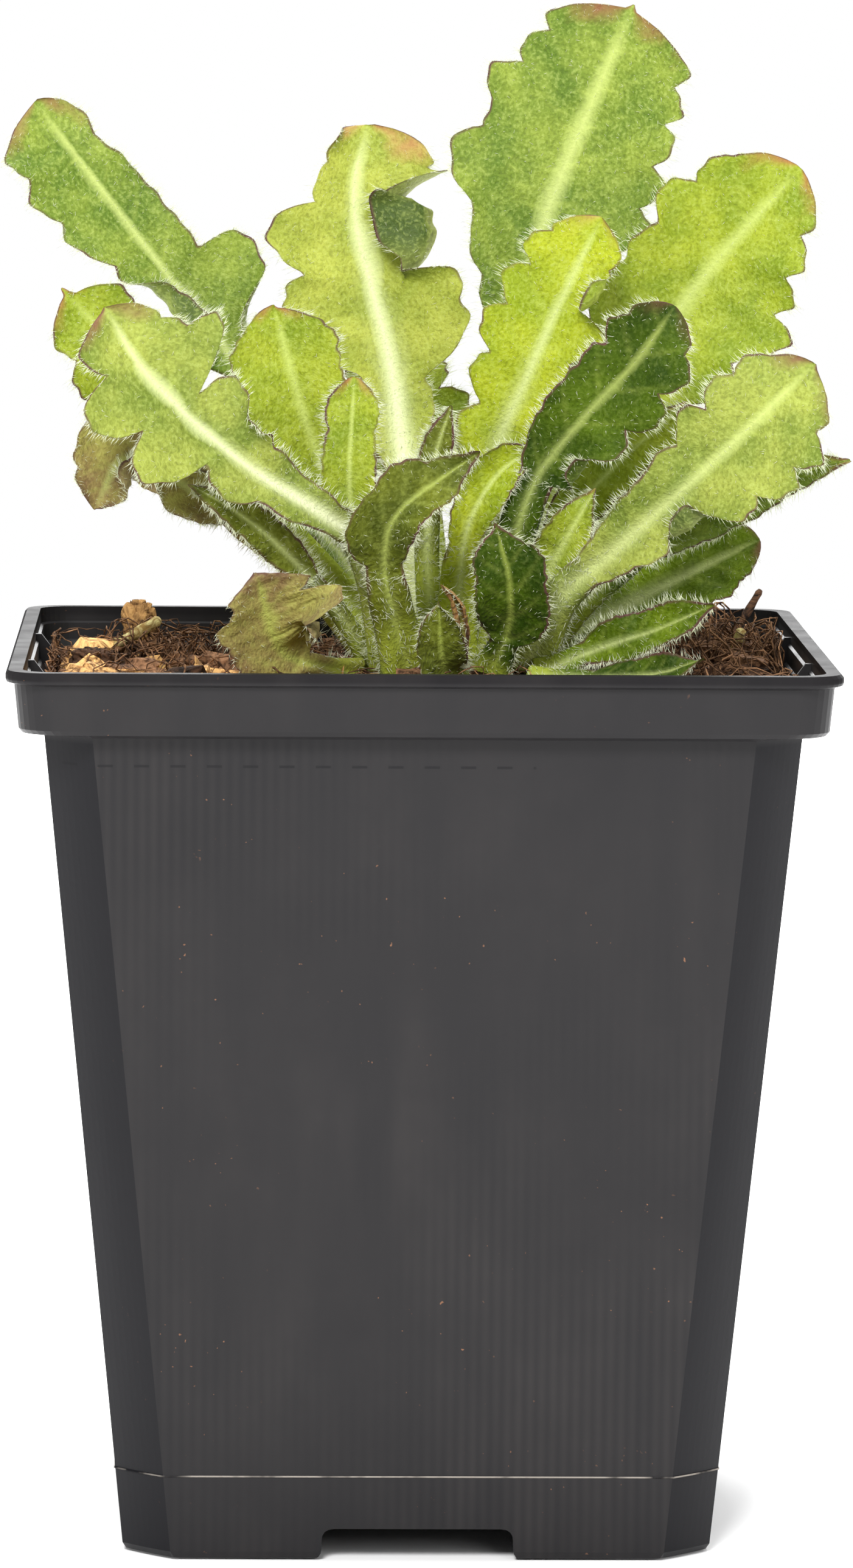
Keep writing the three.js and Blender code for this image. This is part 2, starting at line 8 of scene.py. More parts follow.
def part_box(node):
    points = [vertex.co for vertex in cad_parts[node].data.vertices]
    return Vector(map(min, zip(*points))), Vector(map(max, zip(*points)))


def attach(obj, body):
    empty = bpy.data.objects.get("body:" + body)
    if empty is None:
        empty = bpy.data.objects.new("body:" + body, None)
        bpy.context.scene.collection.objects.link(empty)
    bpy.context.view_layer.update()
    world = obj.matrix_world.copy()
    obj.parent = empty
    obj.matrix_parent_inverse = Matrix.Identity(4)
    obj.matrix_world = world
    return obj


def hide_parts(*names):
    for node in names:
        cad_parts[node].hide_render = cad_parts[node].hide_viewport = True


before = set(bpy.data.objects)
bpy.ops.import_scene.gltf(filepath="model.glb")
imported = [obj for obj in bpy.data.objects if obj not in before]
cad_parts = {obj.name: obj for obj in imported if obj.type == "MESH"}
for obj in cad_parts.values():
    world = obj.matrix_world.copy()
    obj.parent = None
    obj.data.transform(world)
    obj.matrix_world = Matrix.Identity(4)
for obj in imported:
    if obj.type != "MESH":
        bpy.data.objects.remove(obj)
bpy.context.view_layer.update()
mm = 0.001
print("frame loaded:", len(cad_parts), "nodes")


# mesh helpers
def noiseField(points, size, seed, waves=14):
    # smooth noise: the mean of sine waves that run in random directions, with lengths near size
    rng = np.random.default_rng(seed)
    directions = rng.normal(size=(waves, 3))
    directions /= np.linalg.norm(directions, axis=1, keepdims=True)
    lengths = size * rng.uniform(0.6, 1.6, waves)
    phases = rng.uniform(0, 2 * np.pi, waves)
    angle = points @ (directions / lengths[:, None]).T * 2 * np.pi + phases
    return np.sin(angle).mean(axis=-1) * 2.2


def unit(vectors):
    return vectors / np.maximum(np.linalg.norm(vectors, axis=-1, keepdims=True), 1e-12)


def makeObject(name, vertices, faces, material, attributes=None, uv=None, smooth=True):
    # vertices is (n, 3) in metres, faces a list of index lists; attributes are floats, one for each vertex
    mesh = bpy.data.meshes.new(name)
    mesh.from_pydata(vertices.tolist(), [], faces)
    for key, values in (attributes or {}).items():
        layer = mesh.attributes.new(key, "FLOAT", "POINT")
        layer.data.foreach_set("value", np.asarray(values, np.float32).ravel())
    if uv is not None:
        layer = mesh.uv_layers.new(name="UVMap")
        loops = np.zeros(len(mesh.loops), np.int32)
        mesh.loops.foreach_get("vertex_index", loops)
        layer.data.foreach_set("uv", uv[loops].astype(np.float32).ravel())
    mesh.polygons.foreach_set("use_smooth", np.full(len(mesh.polygons), smooth))
    mesh.materials.append(material)
    mesh.update()
    piece = bpy.data.objects.new(name, mesh)
    bpy.context.scene.collection.objects.link(piece)
    return piece


def gridFaces(rows, columns):
    # quads between neighbouring rows, wrapping round at the last column
    start = np.arange(rows - 1)[:, None] * columns
    column = np.arange(columns)[None, :]
    after = (column + 1) % columns
    quads = np.stack([start + column, start + after, start + columns + after, start + columns + column], -1)
    return quads.reshape(-1, 4)


def closedRings(points, flip=False):
    # rings of points with a centre point added at each end, so that the surface is closed
    rows, around = points.shape[:2]
    vertices = np.vstack([points.reshape(-1, 3), points[0].mean(axis=0), points[-1].mean(axis=0)])
    turn = np.arange(around)
    after = (turn + 1) % around
    count, last = rows * around, (rows - 1) * around
    quads = gridFaces(rows, around)
    ends = np.concatenate([np.stack([np.full(around, count), after, turn], 1),
                           np.stack([np.full(around, count + 1), last + turn, last + after], 1)])
    if flip:
        quads, ends = quads[:, ::-1], ends[:, ::-1]
    return vertices, quads.tolist() + ends.tolist()


def makeTubes(name, paths, radii, material, sides=5, tone=None):
    # many tubes at once: paths is (tubes, steps, 3), radii (tubes, steps); a ring of points about each step
    tubes, steps = paths.shape[:2]
    ahead = unit(np.gradient(paths, axis=1))
    helper = np.where(np.abs(ahead[..., 2:]) > 0.9, [1.0, 0, 0], [0, 0, 1.0])
    across = unit(np.cross(ahead, helper))
    over = np.cross(ahead, across)
    angle = np.arange(sides) / sides * 2 * np.pi
    ring = across[:, :, None] * np.cos(angle)[:, None] + over[:, :, None] * np.sin(angle)[:, None]
    points = paths[:, :, None] + ring * radii[:, :, None, None]
    shift = np.arange(tubes)[:, None, None] * (steps * sides)
    quads = (gridFaces(steps, sides)[None] + shift).reshape(-1, 4)
    k = np.arange(1, sides - 1)
    fan = np.stack([0 * k, k + 1, k], 1)
    caps = np.concatenate([fan, fan[:, ::-1] + (steps - 1) * sides])
    caps = (caps[None] + shift).reshape(-1, 3)
    tones = np.repeat(np.full(tubes, 0.4) if tone is None else tone, steps * sides)
    faces = quads.tolist() + caps.tolist()
    return makeObject(name, points.reshape(-1, 3), faces, material, {"tone": tones})


def addPiece(piece, slotName, *nodes):
    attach(piece, "root")
    if nodes:
        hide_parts(*nodes)
    return piece


# materials
def newMaterial(name, roughness, specular=0.5, sheen=0.0):
    material = bpy.data.materials.new(name)
    material.use_nodes = True
    shader = material.node_tree.nodes["Principled BSDF"]
    shader.inputs["Roughness"].default_value = roughness
    shader.inputs["Specular IOR Level"].default_value = specular
    shader.inputs["Sheen Weight"].default_value = sheen
    return material, material.node_tree, shader


def addNode(tree, kind, inputs=None, **settings):
    node = tree.nodes.new(kind)
    for key, value in settings.items():
        setattr(node, key, value)
    for key, value in (inputs or {}).items():
        if isinstance(value, bpy.types.NodeSocket):
            tree.links.new(value, node.inputs[key])
        else:
            node.inputs[key].default_value = value
    return node


def readAttribute(tree, name):
    return addNode(tree, "ShaderNodeAttribute", attribute_name=name).outputs["Fac"]


def noise(tree, scale, detail, roughness=0.55, distortion=0.0):
    place = addNode(tree, "ShaderNodeTexCoord").outputs["Object"]
    return addNode(tree, "ShaderNodeTexNoise", {
        "Vector": place, "Scale": scale, "Detail": detail, "Roughness": roughness, "Distortion": distortion,
    }).outputs["Fac"]


def mixColour(tree, factor, first, second):
    return addNode(tree, "ShaderNodeMix", {0: factor, 6: first, 7: second}, data_type="RGBA").outputs[2]


def remap(tree, value, low, high, toLow=0.0, toHigh=1.0):
    return addNode(tree, "ShaderNodeMapRange", {
        "Value": value, "From Min": low, "From Max": high, "To Min": toLow, "To Max": toHigh,
    }).outputs["Result"]


def maths(tree, operation, first, second=0.0):
    return addNode(tree, "ShaderNodeMath", {0: first, 1: second}, operation=operation).outputs[0]


def times(tree, first, second):
    return maths(tree, "MULTIPLY", first, second)


def mixShaders(tree, factor, first, second):
    # the blend of two shaders goes straight to the surface
    blend = addNode(tree, "ShaderNodeMixShader", {0: factor, 1: first, 2: second})
    tree.links.new(blend.outputs[0], tree.nodes["Material Output"].inputs["Surface"])


def bump(tree, shader, height, strength, distance, before=None):
    inputs = {"Height": height, "Strength": strength, "Distance": distance}
    if before is not None:
        inputs["Normal"] = before
    node = addNode(tree, "ShaderNodeBump", inputs)
    if shader is not None:
        tree.links.new(node.outputs[0], shader.inputs["Normal"])
    return node.outputs[0]


def colour(red, green, blue):
    # a colour picked as 0 to 255 screen values, as the linear value that a shader wants
    c = np.array([red, green, blue]) / 255
    linear = np.where(c <= 0.04045, c / 12.92, ((c + 0.055) / 1.055) ** 2.4)
    return (*linear.tolist(), 1.0)


def leafMaterial(name, tone, shade, under, fold, tip=None, fuzzy=0.3):
    # tone and shade are the light and dark greens above, under the green below and fold the darker green
    # painted as shade on rolled lobes; fuzzy sets how strong the pale down, the shine and the veins are
    material, tree, shader = newMaterial(name, 0.52, specular=0.05 + 0.5 * fuzzy, sheen=0.05)
    shader.inputs["Sheen Roughness"].default_value = 0.45
    patches = remap(tree, noise(tree, 150, 4), 0.36, 0.64)
    base = mixColour(tree, patches, colour(*shade), colour(*tone))
    base = mixColour(tree, readAttribute(tree, "under"), base, colour(*under))
    # painted shade: the rolled part of a sharply curled lobe takes the darker fold green
    base = mixColour(tree, readAttribute(tree, "rolledShade"), base, colour(*fold))
    pebbles = noise(tree, 2300, 2, 0.55)
    # the pale down of the leaf, laid on the bump tops, so partly a painted highlight
    fuzz = remap(tree, pebbles, 0.5, 0.7, 0.0, fuzzy)
    base = mixColour(tree, fuzz, base, colour(*leafLook["fuzz"]))
    # painted shade: the pits between the bumps are darkened with half the dark green
    pitShade = remap(tree, pebbles, 0.3, 0.5, 0.34, 0.0)
    base = mixColour(tree, pitShade, base, colour(*[0.5 * part for part in shade]))
    rib = times(tree, readAttribute(tree, "vein"), 0.35 + 1.2 * fuzzy)
    base = mixColour(tree, rib, base, colour(*leafLook["vein"]))
    stalk = times(tree, readAttribute(tree, "stalk"), 0.7)
    base = mixColour(tree, stalk, base, colour(*leafLook["stalk"]))
    heart = times(tree, readAttribute(tree, "rib"), 0.9)
    base = mixColour(tree, heart, base, colour(*leafLook["rib"]))
    if tip is not None:
        tipPart = times(tree, readAttribute(tree, "tip"), noise(tree, 260, 3))
        base = mixColour(tree, remap(tree, tipPart, 0.25, 0.6), base, colour(*tip))
    edge = remap(tree, readAttribute(tree, "edge"), 0.3, 0.9)
    edge = times(tree, edge, remap(tree, noise(tree, 210, 2), 0.32, 0.6, 0.15, 1.0))
    base = mixColour(tree, edge, base, colour(*leafLook["edge"]))
    tree.links.new(base, shader.inputs["Base Color"])
    bump(tree, shader, pebbles, 0.9, 0.22 * mm)
    lit = mixColour(tree, 0.15, base, colour(*leafLook["glow"]))
    glow = addNode(tree, "ShaderNodeBsdfTranslucent", {"Color": lit})
    mixShaders(tree, leafLook["translucency"], shader.outputs[0], glow.outputs[0])
    return material


def hairMaterial():
    material, tree, shader = newMaterial("leafHair", 0.4, specular=0.5, sheen=0.3)
    soft = mixColour(tree, noise(tree, 300, 1), colour(222, 228, 186), colour(250, 252, 236))
    tree.links.new(soft, shader.inputs["Base Color"])
    glow = addNode(tree, "ShaderNodeBsdfTranslucent", {"Color": colour(246, 250, 226)})
    mixShaders(tree, 0.4, shader.outputs[0], glow.outputs[0])
    return material


leafLook = {
    "translucency": 0.24,
    "glow": (206, 222, 90),
    "fuzz": (190, 202, 116),
    "vein": (186, 200, 96),
    "rib": (232, 236, 196),
    "stalk": (172, 184, 66),
    "edge": (92, 62, 58),
}

# tone, shade, under, fold (the darker green painted as shade on rolled lobes),
# then where wanted the tip and how fuzzy
leafColours = {
    "midGreen": [(134, 152, 56), (92, 118, 34), (150, 164, 86), (82, 100, 38), (140, 98, 66)],
    "yellowGreen": [(160, 172, 44), (122, 142, 28), (166, 178, 78), (112, 134, 34), (160, 112, 66)],
    "limeGreen": [(172, 182, 36), (138, 156, 24), (172, 184, 72), (128, 148, 32), (166, 142, 72)],
    "paleGreen": [(176, 182, 76), (138, 150, 50), (178, 186, 100), (70, 90, 36), (186, 130, 92)],
    "greyGreen": [(154, 164, 70), (112, 130, 46), (156, 168, 94), (86, 102, 44), (124, 84, 64)],
    "darkGreen": [(74, 96, 10), (42, 64, 6), (130, 148, 66), (52, 72, 14), (84, 62, 40), 0.08],
    "deepGreen": [(100, 122, 12), (66, 88, 8), (136, 154, 66), (70, 92, 18), (98, 76, 44), 0.1],
    "sageGreen": [(104, 112, 28), (72, 82, 18), (120, 122, 50), (84, 86, 34), (92, 66, 50), 0.14],
    "straw": [(190, 142, 84), (128, 84, 48), (170, 124, 74), (120, 80, 50)],
    "purpleGreen": [(172, 166, 88), (132, 108, 72), (162, 146, 96), (112, 86, 68), (98, 66, 60), 0.2],
}
greens = {}
for name, parts in leafColours.items():
    greens[name] = leafMaterial("leaf" + name[0].upper() + name[1:], *parts)
hairs = hairMaterial()
print("leaf materials ready")


# leaves
def routeThrough(points, count):
    # Catmull-Rom curve through the points, with the ends mirrored, sampled at equal lengths
    p = np.asarray(points, float)
    p = np.vstack([2 * p[0] - p[1], p, 2 * p[-1] - p[-2]])
    t = np.linspace(0, 1, 60, endpoint=False)[:, None]
    parts = []
    for k in range(1, len(p) - 2):
        a, b, c, d = p[k - 1], p[k], p[k + 1], p[k + 2]
        parts.append(0.5 * (2 * b + (c - a) * t + (2 * a - 5 * b + 4 * c - d) * t ** 2
                            + (3 * b - a - 3 * c + d) * t ** 3))
    line = np.vstack(parts + [p[-2][None]])
    reach = np.concatenate([[0], np.cumsum(np.linalg.norm(np.diff(line, axis=0), axis=1))])
    even = np.linspace(0, reach[-1], count)
    return np.stack([np.interp(even, reach, line[:, i]) for i in range(3)], -1), reach[-1]


leafForm = {
    "stalk": 1.5, "foot": 0.5, "blade": 0.4, "wide": 3.0, "lobe": 0.075, "sweep": 0.24, "tip": 5.0,
    "left": [], "right": [], "curls": [], "facing": (0, -1, 0.25), "fold": 0.22, "cup": 0.25, "ruffle": 0.5,
    "midrib": 0.6, "pale": 0.25, "veins": 7, "quilt": 0.3, "thick": 0.2, "colour": "midGreen", "hair": 1.0,
}


def marginWidth(along, length, leaf, side):
    # an arch over the blade, swelled by a round bump for each lobe, on a stalk that widens to its foot;
    # the last tip millimetres close with a quarter ellipse
    t = np.clip((along - leaf["blade"]) / (1 - leaf["blade"]), 0, 1)
    width = leaf["wide"] * np.sin(np.pi * t ** 0.8) ** 0.6
    for place, reach in leaf[side]:
        x = (along - place) / leaf["lobe"]
        width = np.maximum(width, reach * np.clip(1 - x * x, 0, 1) ** 0.38)
    foot = np.clip(1 - along / (0.45 * leaf["blade"] + 0.1), 0, 1)
    stalk = leaf["stalk"] * (1 + leaf["foot"] * foot ** 2)
    teeth = 1 + 0.02 * np.sin(along * 150 + len(leaf[side])) + 0.02 * np.sin(along * 83)
    left = np.clip((1 - along) * length / leaf["tip"], 0, 1)
    return np.maximum(width * teeth, stalk * (1 - 0.5 * t)) * np.sqrt(left * (2 - left))


def crossRow(leaf, side, along, width, blade, at, steps=40):
    # from midrib to margin the slope is fold + cup * u, plus each curl's turn over a short crease; the sums
    # of its cosine and sine say how far out and how high the row is, read off at the places at, from 0 to 1
    u = np.linspace(0, 1, steps + 1)[None, :]
    slope = leaf["fold"] * np.clip(blade + 0.35, 0, 1) + leaf["cup"] * blade * u
    # marks the rolled part beyond a sharp curl, where the leaf material paints shade
    rolledShade = 0 * slope
    for curlSide, place, span, amount, start in leaf["curls"]:
        if curlSide == side:
            here = np.exp(-((along[:, None] - place) / span) ** 4)
            crease = np.clip((u - start) * width / 2.4, 0, 1)
            slope = slope + here * amount * crease ** 2 * (3 - 2 * crease)
            rolledShade = rolledShade + here * np.clip(amount - 1.3, 0, 1) * np.clip(crease * 2 - 1, 0, 1)
    middle = 0.5 * (slope[:, 1:] + slope[:, :-1])
    zero = np.zeros((len(along), 1))
    lateral = np.hstack([zero, np.cumsum(np.cos(middle), axis=1)]) * width / steps
    raised = np.hstack([zero, np.cumsum(np.sin(middle), axis=1)]) * width / steps
    low = np.minimum((at * steps).astype(int), steps - 1)
    part = at * steps - low
    rows = (slope, lateral, raised, rolledShade)
    return [table[:, low] * (1 - part) + table[:, low + 1] * part for table in rows]


def leafSurface(leaf, seed, rows=130, around=44):
    # each ring is a cross row of the blade: v = -cos(angle) runs from margin to margin above and back below,
    # and the blade's thickness keeps the two faces apart
    along = np.concatenate([np.linspace(0, leaf["blade"], rows // 5, endpoint=False),
                            np.linspace(leaf["blade"], 1, rows - rows // 5) ** 0.97])
    along = np.clip(along / along[-1], 0, 0.9995)
    fine, length = routeThrough(leaf["route"], 600)
    centre = np.stack([np.interp(along, np.linspace(0, 1, 600), fine[:, i]) for i in range(3)], -1)
    tangent = unit(np.gradient(fine, axis=0))
    ahead = unit(np.stack([np.interp(along, np.linspace(0, 1, 600), tangent[:, i]) for i in range(3)], -1))
    right = unit(np.cross(ahead, unit(np.array(leaf["facing"], float))))
    up = unit(np.cross(right, ahead))

    angle = np.arange(around) / around * 2 * np.pi
    v = -np.cos(angle)[None, :]
    layer = np.sin(angle)[None, :]
    sign = np.where(v >= 0, 1.0, -1.0)
    widthLeft = marginWidth(along, length, leaf, "left")[:, None]
    widthRight = marginWidth(along, length, leaf, "right")[:, None]
    width = np.where(v >= 0, widthRight, widthLeft)
    blade = np.clip((along - leaf["blade"] * 0.85) / 0.1, 0, 1)[:, None]

    distance = np.abs(v) * width
    theta, lateral, raised, rolledShade = (np.zeros((rows, around)) for _ in range(4))
    for side, edgeWidth, chosen in (("left", widthLeft, v[0] < 0), ("right", widthRight, v[0] >= 0)):
        found = crossRow(leaf, side, along, edgeWidth, blade, np.abs(v[0, chosen]))
        for whole, part in zip((theta, lateral, raised, rolledShade), found):
            whole[:, chosen] = part

    t = np.clip((along - leaf["blade"]) / (1 - leaf["blade"]), 0, 1)[:, None]
    sweep = leaf["sweep"] * blade * (1 - np.clip((along[:, None] - 0.8) / 0.2, 0, 1))
    forward = sweep * np.minimum(distance, width) * (0.5 + 0.5 * np.abs(v))

    rng = np.random.default_rng(seed)
    phase = rng.uniform(0, 6, 4)
    wave = np.sin(along[:, None] * length / 2.1 + phase[0] + sign * phase[1])
    wave2 = np.sin(along[:, None] * length / 1.1 + phase[2] * sign + phase[3])
    ruffle = leaf["ruffle"] * blade * np.abs(v) ** 2 * (wave + 0.4 * wave2)

    # side veins leave the midrib forwards, one for each spacing along it
    spacing = (1 - leaf["blade"]) * length / leaf["veins"]
    track = (along[:, None] * length - 0.75 * distance) / spacing + 0.35 * sign
    vein = np.exp(-((track - np.round(track)) * spacing / 0.3) ** 2) * np.clip(1.1 - np.abs(v), 0, 1)
    vein = vein * blade * np.clip((distance - 0.3) / 0.8, 0, 1)
    ribSize = leaf["midrib"] * (1 - 0.75 * t ** 0.8)
    rib = np.exp(-(distance / np.maximum(ribSize * 0.9, 0.05)) ** 2)
    rib = rib * np.clip((1 - along[:, None]) / 0.08, 0, 1)

    spots = centre[:, None, :] + right[:, None, :] * (sign * distance)[..., None]
    quilt = noiseField(spots, 3.6, seed + 1) * 0.6 + noiseField(spots, 1.6, seed + 2, 18) * 0.3
    quilt = leaf["quilt"] * quilt * blade * np.clip(1 - rib - 0.6 * vein, 0, 1)

    closing = np.clip((1 - along[:, None]) * length / 1.5, 0.02, 1) ** 0.5
    stalkThick = np.minimum(widthLeft, leaf["stalk"] * 1.2) * 0.6 * (1 - blade) + leaf["thick"] * blade
    thick = stalkThick * np.abs(layer) ** 0.8 * closing
    upper = np.where(layer >= 0, 1.0, -1.0)
    edgeFade = np.clip((1 - np.abs(v)) / 0.06, 0, 1)
    channel = -0.45 * stalkThick * (1 - blade) * np.exp(-(v / 0.45) ** 2)
    groove = np.where(layer >= 0, channel - 0.25 * rib * ribSize * blade - 0.12 * vein, 0.0)
    ridge = np.where(layer < 0, -0.8 * rib * ribSize * blade - 0.18 * vein, 0.0)
    offset = upper * thick + (groove + ridge) * edgeFade + quilt

    across, above, onward = (axis[:, None, :] for axis in (right, up, ahead))
    sideways = across * (sign * np.cos(theta))[..., None] + above * np.sin(theta)[..., None]
    normal = above * np.cos(theta)[..., None] - across * (sign * np.sin(theta))[..., None]
    points = (centre[:, None, :] + across * (sign * lateral)[..., None] + above * (raised + ruffle)[..., None]
              + onward * forward[..., None] + normal * offset[..., None])
    reach = np.maximum(width, 0.9)
    edge = np.clip((np.abs(v) - (1 - 0.42 / reach)) * reach / 0.3, 0, 1)
    facts = {
        "vein": np.clip(rib + vein * 0.5, 0, 1) + 0 * v,
        "rib": rib * leaf["pale"] * np.clip(1.15 - t * 0.8, 0, 1) + 0 * v,
        "edge": edge * np.clip(blade + 0.25, 0, 1),
        "under": np.where(layer < 0, 1.0, 0.0) + 0 * along[:, None],
        # where the leaf material paints shade on rolled lobes
        "rolledShade": np.clip(rolledShade, 0, 1),
        "stalk": np.clip((0.75 * leaf["blade"] - along[:, None]) / 0.12, 0, 1) + 0 * v,
        "tip": np.clip((along[:, None] - 0.86) / 0.14, 0, 1) * np.clip(np.abs(v) + 0.35, 0, 1) + 0 * v,
    }
    uv = np.stack([0.5 + 0.5 * v * np.ones_like(along)[:, None], along[:, None] + 0 * v], -1)
    return points * mm, normal, sideways, facts, uv, width, length


# hairs for each millimetre of margin and stalk and for each square millimetre of face; sizes in millimetres
hairLook = {"onMargin": 9, "onFace": 1.3, "onStalk": 16, "length": (0.5, 1.3), "radius": (0.024, 0.04)}
oldLeaves = ("leaf_old_mottled", "leaf_left_curled", "leaf_withered")


def makeLeafHairs(name, points, normal, sideways, width, leaf, length, seed):
    # a hair is a thin three-sided needle, standing on the margins, the stalk or the two faces
    rng = np.random.default_rng(seed + 9)
    rows, around = points.shape[:2]
    area = float(width[:, [0, around // 2]].sum(axis=1).mean() * length)
    counts = [int(hairLook["onMargin"] * length * leaf["hair"]),
              int(hairLook["onFace"] * area * leaf["hair"]),
              int(hairLook["onStalk"] * length * leaf["blade"] * leaf["hair"])]
    row = np.concatenate([rng.uniform(0.02, 0.99, counts[0]), rng.uniform(0.15, 0.98, counts[1]),
                          rng.uniform(0.01, 0.24, counts[2])]) * (rows - 2)
    column = np.concatenate([rng.choice([0, around // 2], counts[0]),
                             rng.integers(0, around, counts[1] + counts[2])])
    total = len(column)
    low = row.astype(int)
    part = (row - low)[:, None]
    base = points[low, column] * (1 - part) + points[low + 1, column] * part
    onMargin = (np.arange(total) < counts[0])[:, None]
    onStalk = (np.arange(total) >= counts[0] + counts[1])[:, None]
    face = normal[low, column] * np.where(np.sin(column / around * 2 * np.pi) < 0, -1.0, 1.0)[:, None]
    jitter = rng.normal(size=(total, 3))
    outwards = sideways[low, column] + face * rng.normal(0, 0.35, (total, 1)) + jitter * 0.28
    direction = unit(np.where(onMargin, outwards, face + jitter * 0.42))
    size = rng.uniform(*hairLook["length"], (total, 1)) * np.where(onMargin | onStalk, 1.15, 0.62) * mm
    radius = rng.uniform(*hairLook["radius"], (total, 1)) * np.where(onMargin | onStalk, 1.0, 0.75) * mm
    across = unit(np.cross(direction, jitter))
    over = np.cross(direction, across)
    thirds = (0, 2 * math.pi / 3, 4 * math.pi / 3)
    corners = [across * math.cos(turn) + over * math.sin(turn) for turn in thirds]
    foot = [base - direction * 0.05 * mm + 1.25 * radius * corner for corner in corners]
    vertices = np.stack(foot + [base + direction * size], 1)
    shape = np.array([[0, 1, 3], [1, 2, 3], [2, 0, 3], [0, 2, 1]])
    faces = (shape[None] + 4 * np.arange(total)[:, None, None]).reshape(-1, 3)
    addPiece(makeObject(name + "Hairs", vertices.reshape(-1, 3), faces.tolist(), hairs), "leaf")
    return total


def makeLeaf(name, node, own, seed):
    leaf = {**leafForm, **own}
    points, normal, sideways, facts, uv, width, length = leafSurface(leaf, seed)
    vertices, faces = closedRings(points)
    rows, around = points.shape[:2]
    for key, values in facts.items():
        facts[key] = np.append(np.broadcast_to(values, (rows, around)).ravel(), [0, 0])
    uv = np.vstack([uv.reshape(-1, 2), [[0.5, 0.0], [0.5, 1.0]]])
    piece = makeObject(name, vertices, faces, greens[leaf["colour"]], facts, uv)
    addPiece(piece, "old_leaf" if node in oldLeaves else "leaf", node)
    return makeLeafHairs(name, points, normal, sideways, width, leaf, length, seed)


